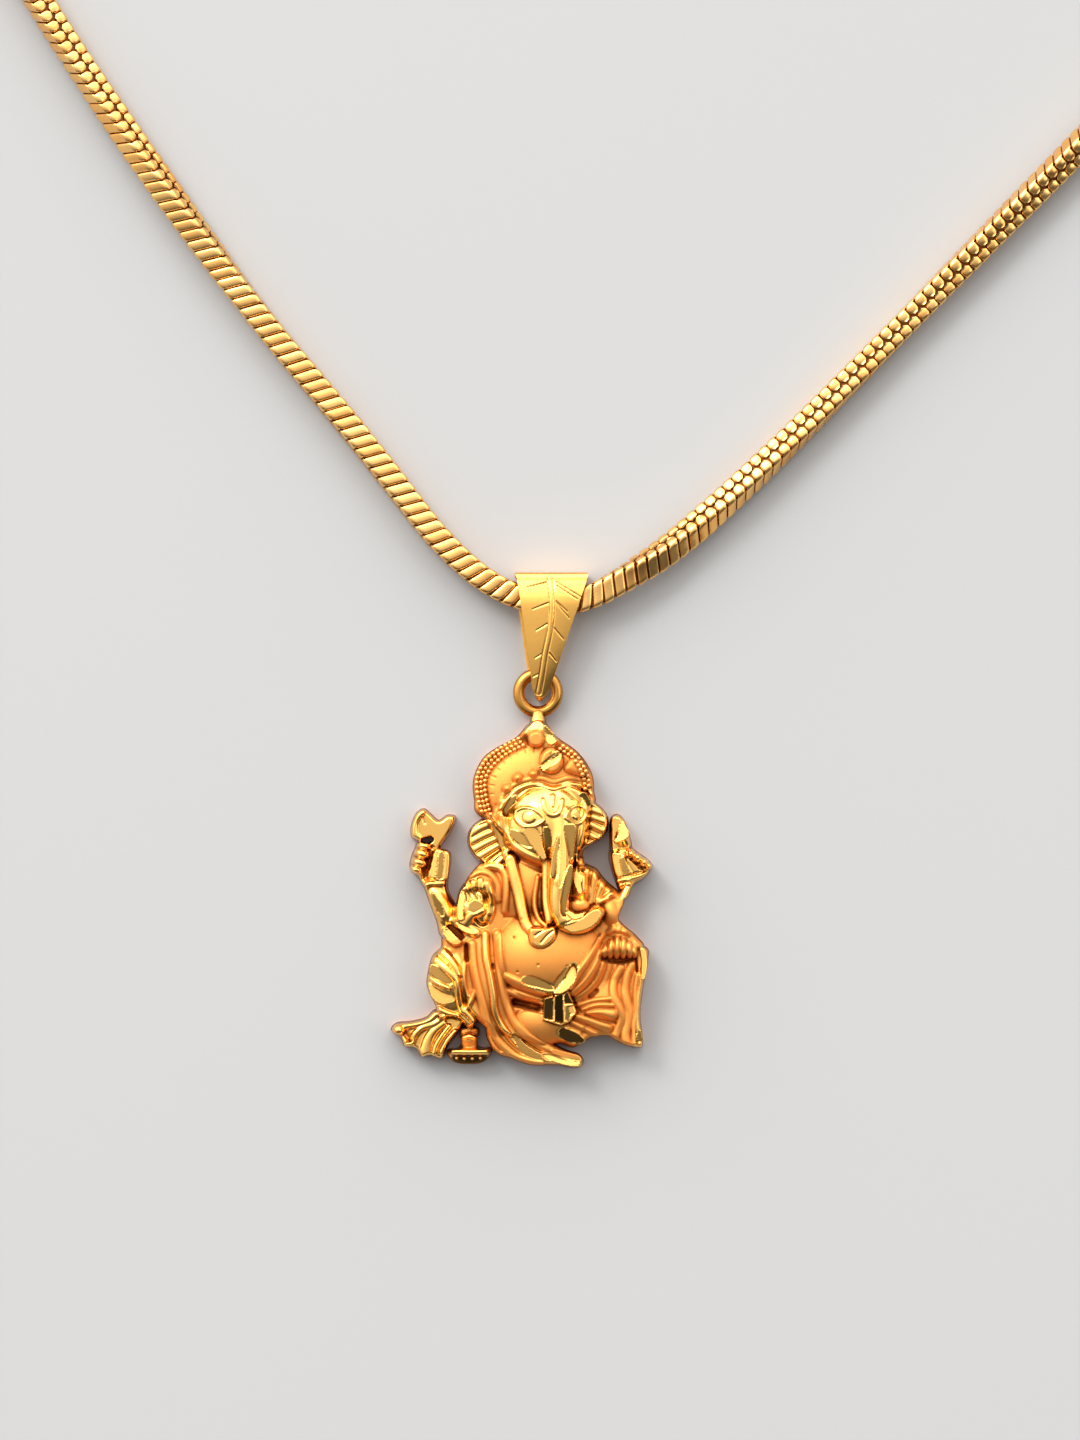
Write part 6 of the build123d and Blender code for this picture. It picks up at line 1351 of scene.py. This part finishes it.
# The studio: a pale table top, a soft box at the upper left, a weaker one at the right and a pale room
# whose ceiling is dark, as the flat cut facets mirror it
table_mesh = bpy.data.meshes.new("table_top")
table_half = 1.5
table_mesh.from_pydata([(-table_half, -table_half, 0), (table_half, -table_half, 0), (table_half, table_half, 0),
                        (-table_half, table_half, 0)], [], [(0, 1, 2, 3)])
table_top = bpy.data.objects.new("table_top", table_mesh)
bpy.context.scene.collection.objects.link(table_top)
pale = bpy.data.materials.new("pale_paper")
pale.use_nodes = True
pale.node_tree.nodes["Principled BSDF"].inputs["Base Color"].default_value = (0.42, 0.416, 0.41, 1)
pale.node_tree.nodes["Principled BSDF"].inputs["Roughness"].default_value = 0.8
table_mesh.materials.append(pale)

world = bpy.data.worlds.new("room")
bpy.context.scene.world = world
world.use_nodes = True
room = Nodes(world.node_tree)
direction = room.add("ShaderNodeTexCoord")
facing = room.add("ShaderNodeVectorMath")
facing.operation = "DOT_PRODUCT"
room.tree.links.new(direction.outputs["Generated"], facing.inputs[0])
facing.inputs[1].default_value = (-0.25, 0.968, 0)
ramp = room.add("ShaderNodeValToRGB", Fac=maths(room, "ADD", maths(room, "MULTIPLY", facing.outputs["Value"], 0.5), 0.5))
stops = ramp.color_ramp.elements
stops[0].position, stops[0].color = 0.0, (0.14, 0.14, 0.14, 1)
stops[1].position, stops[1].color = 1.0, (1.0, 1.0, 1.0, 1)
for position, value in ((0.20, 0.03), (0.27, 0.11), (0.33, 0.25), (0.40, 0.37), (0.46, 0.44), (0.51, 0.52),
                        (0.57, 0.64), (0.66, 1.05), (0.75, 1.40), (0.84, 1.60), (0.88, 2.60), (0.95, 2.60)):
    stop = stops.new(position)
    stop.color = (value, value, value, 1)
background = world.node_tree.nodes["Background"]
room.feed(background, "Color", ramp.outputs["Color"])
background.inputs["Strength"].default_value = 1.8


def soft_box(name, place, size, power, target=(0, 0.01, 0)):
    data = bpy.data.lights.new(name, "AREA")
    data.shape = "DISK"
    data.size = size
    data.energy = power
    lamp = bpy.data.objects.new(name, data)
    lamp.location = place
    lamp.rotation_euler = (Vector(target) - Vector(place)).to_track_quat("-Z", "Y").to_euler()
    bpy.context.scene.collection.objects.link(lamp)


soft_box("key_box", (-0.30, 0.38, 0.42), 0.22, 1.6)
soft_box("fill_box", (0.42, 0.05, 0.35), 0.30, 0.4)

camera_data = bpy.data.cameras.new("camera")
camera_height = 0.60
view_height = 0.1152
camera_data.sensor_width = 36
camera_data.lens = 36 * camera_height / view_height
camera_data.clip_start, camera_data.clip_end = 0.01, 10
camera = bpy.data.objects.new("camera", camera_data)
camera.location = (0.0004, 0.0144, camera_height)
bpy.context.scene.collection.objects.link(camera)
bpy.context.scene.camera = camera
bpy.context.scene.view_settings.view_transform = "Standard"
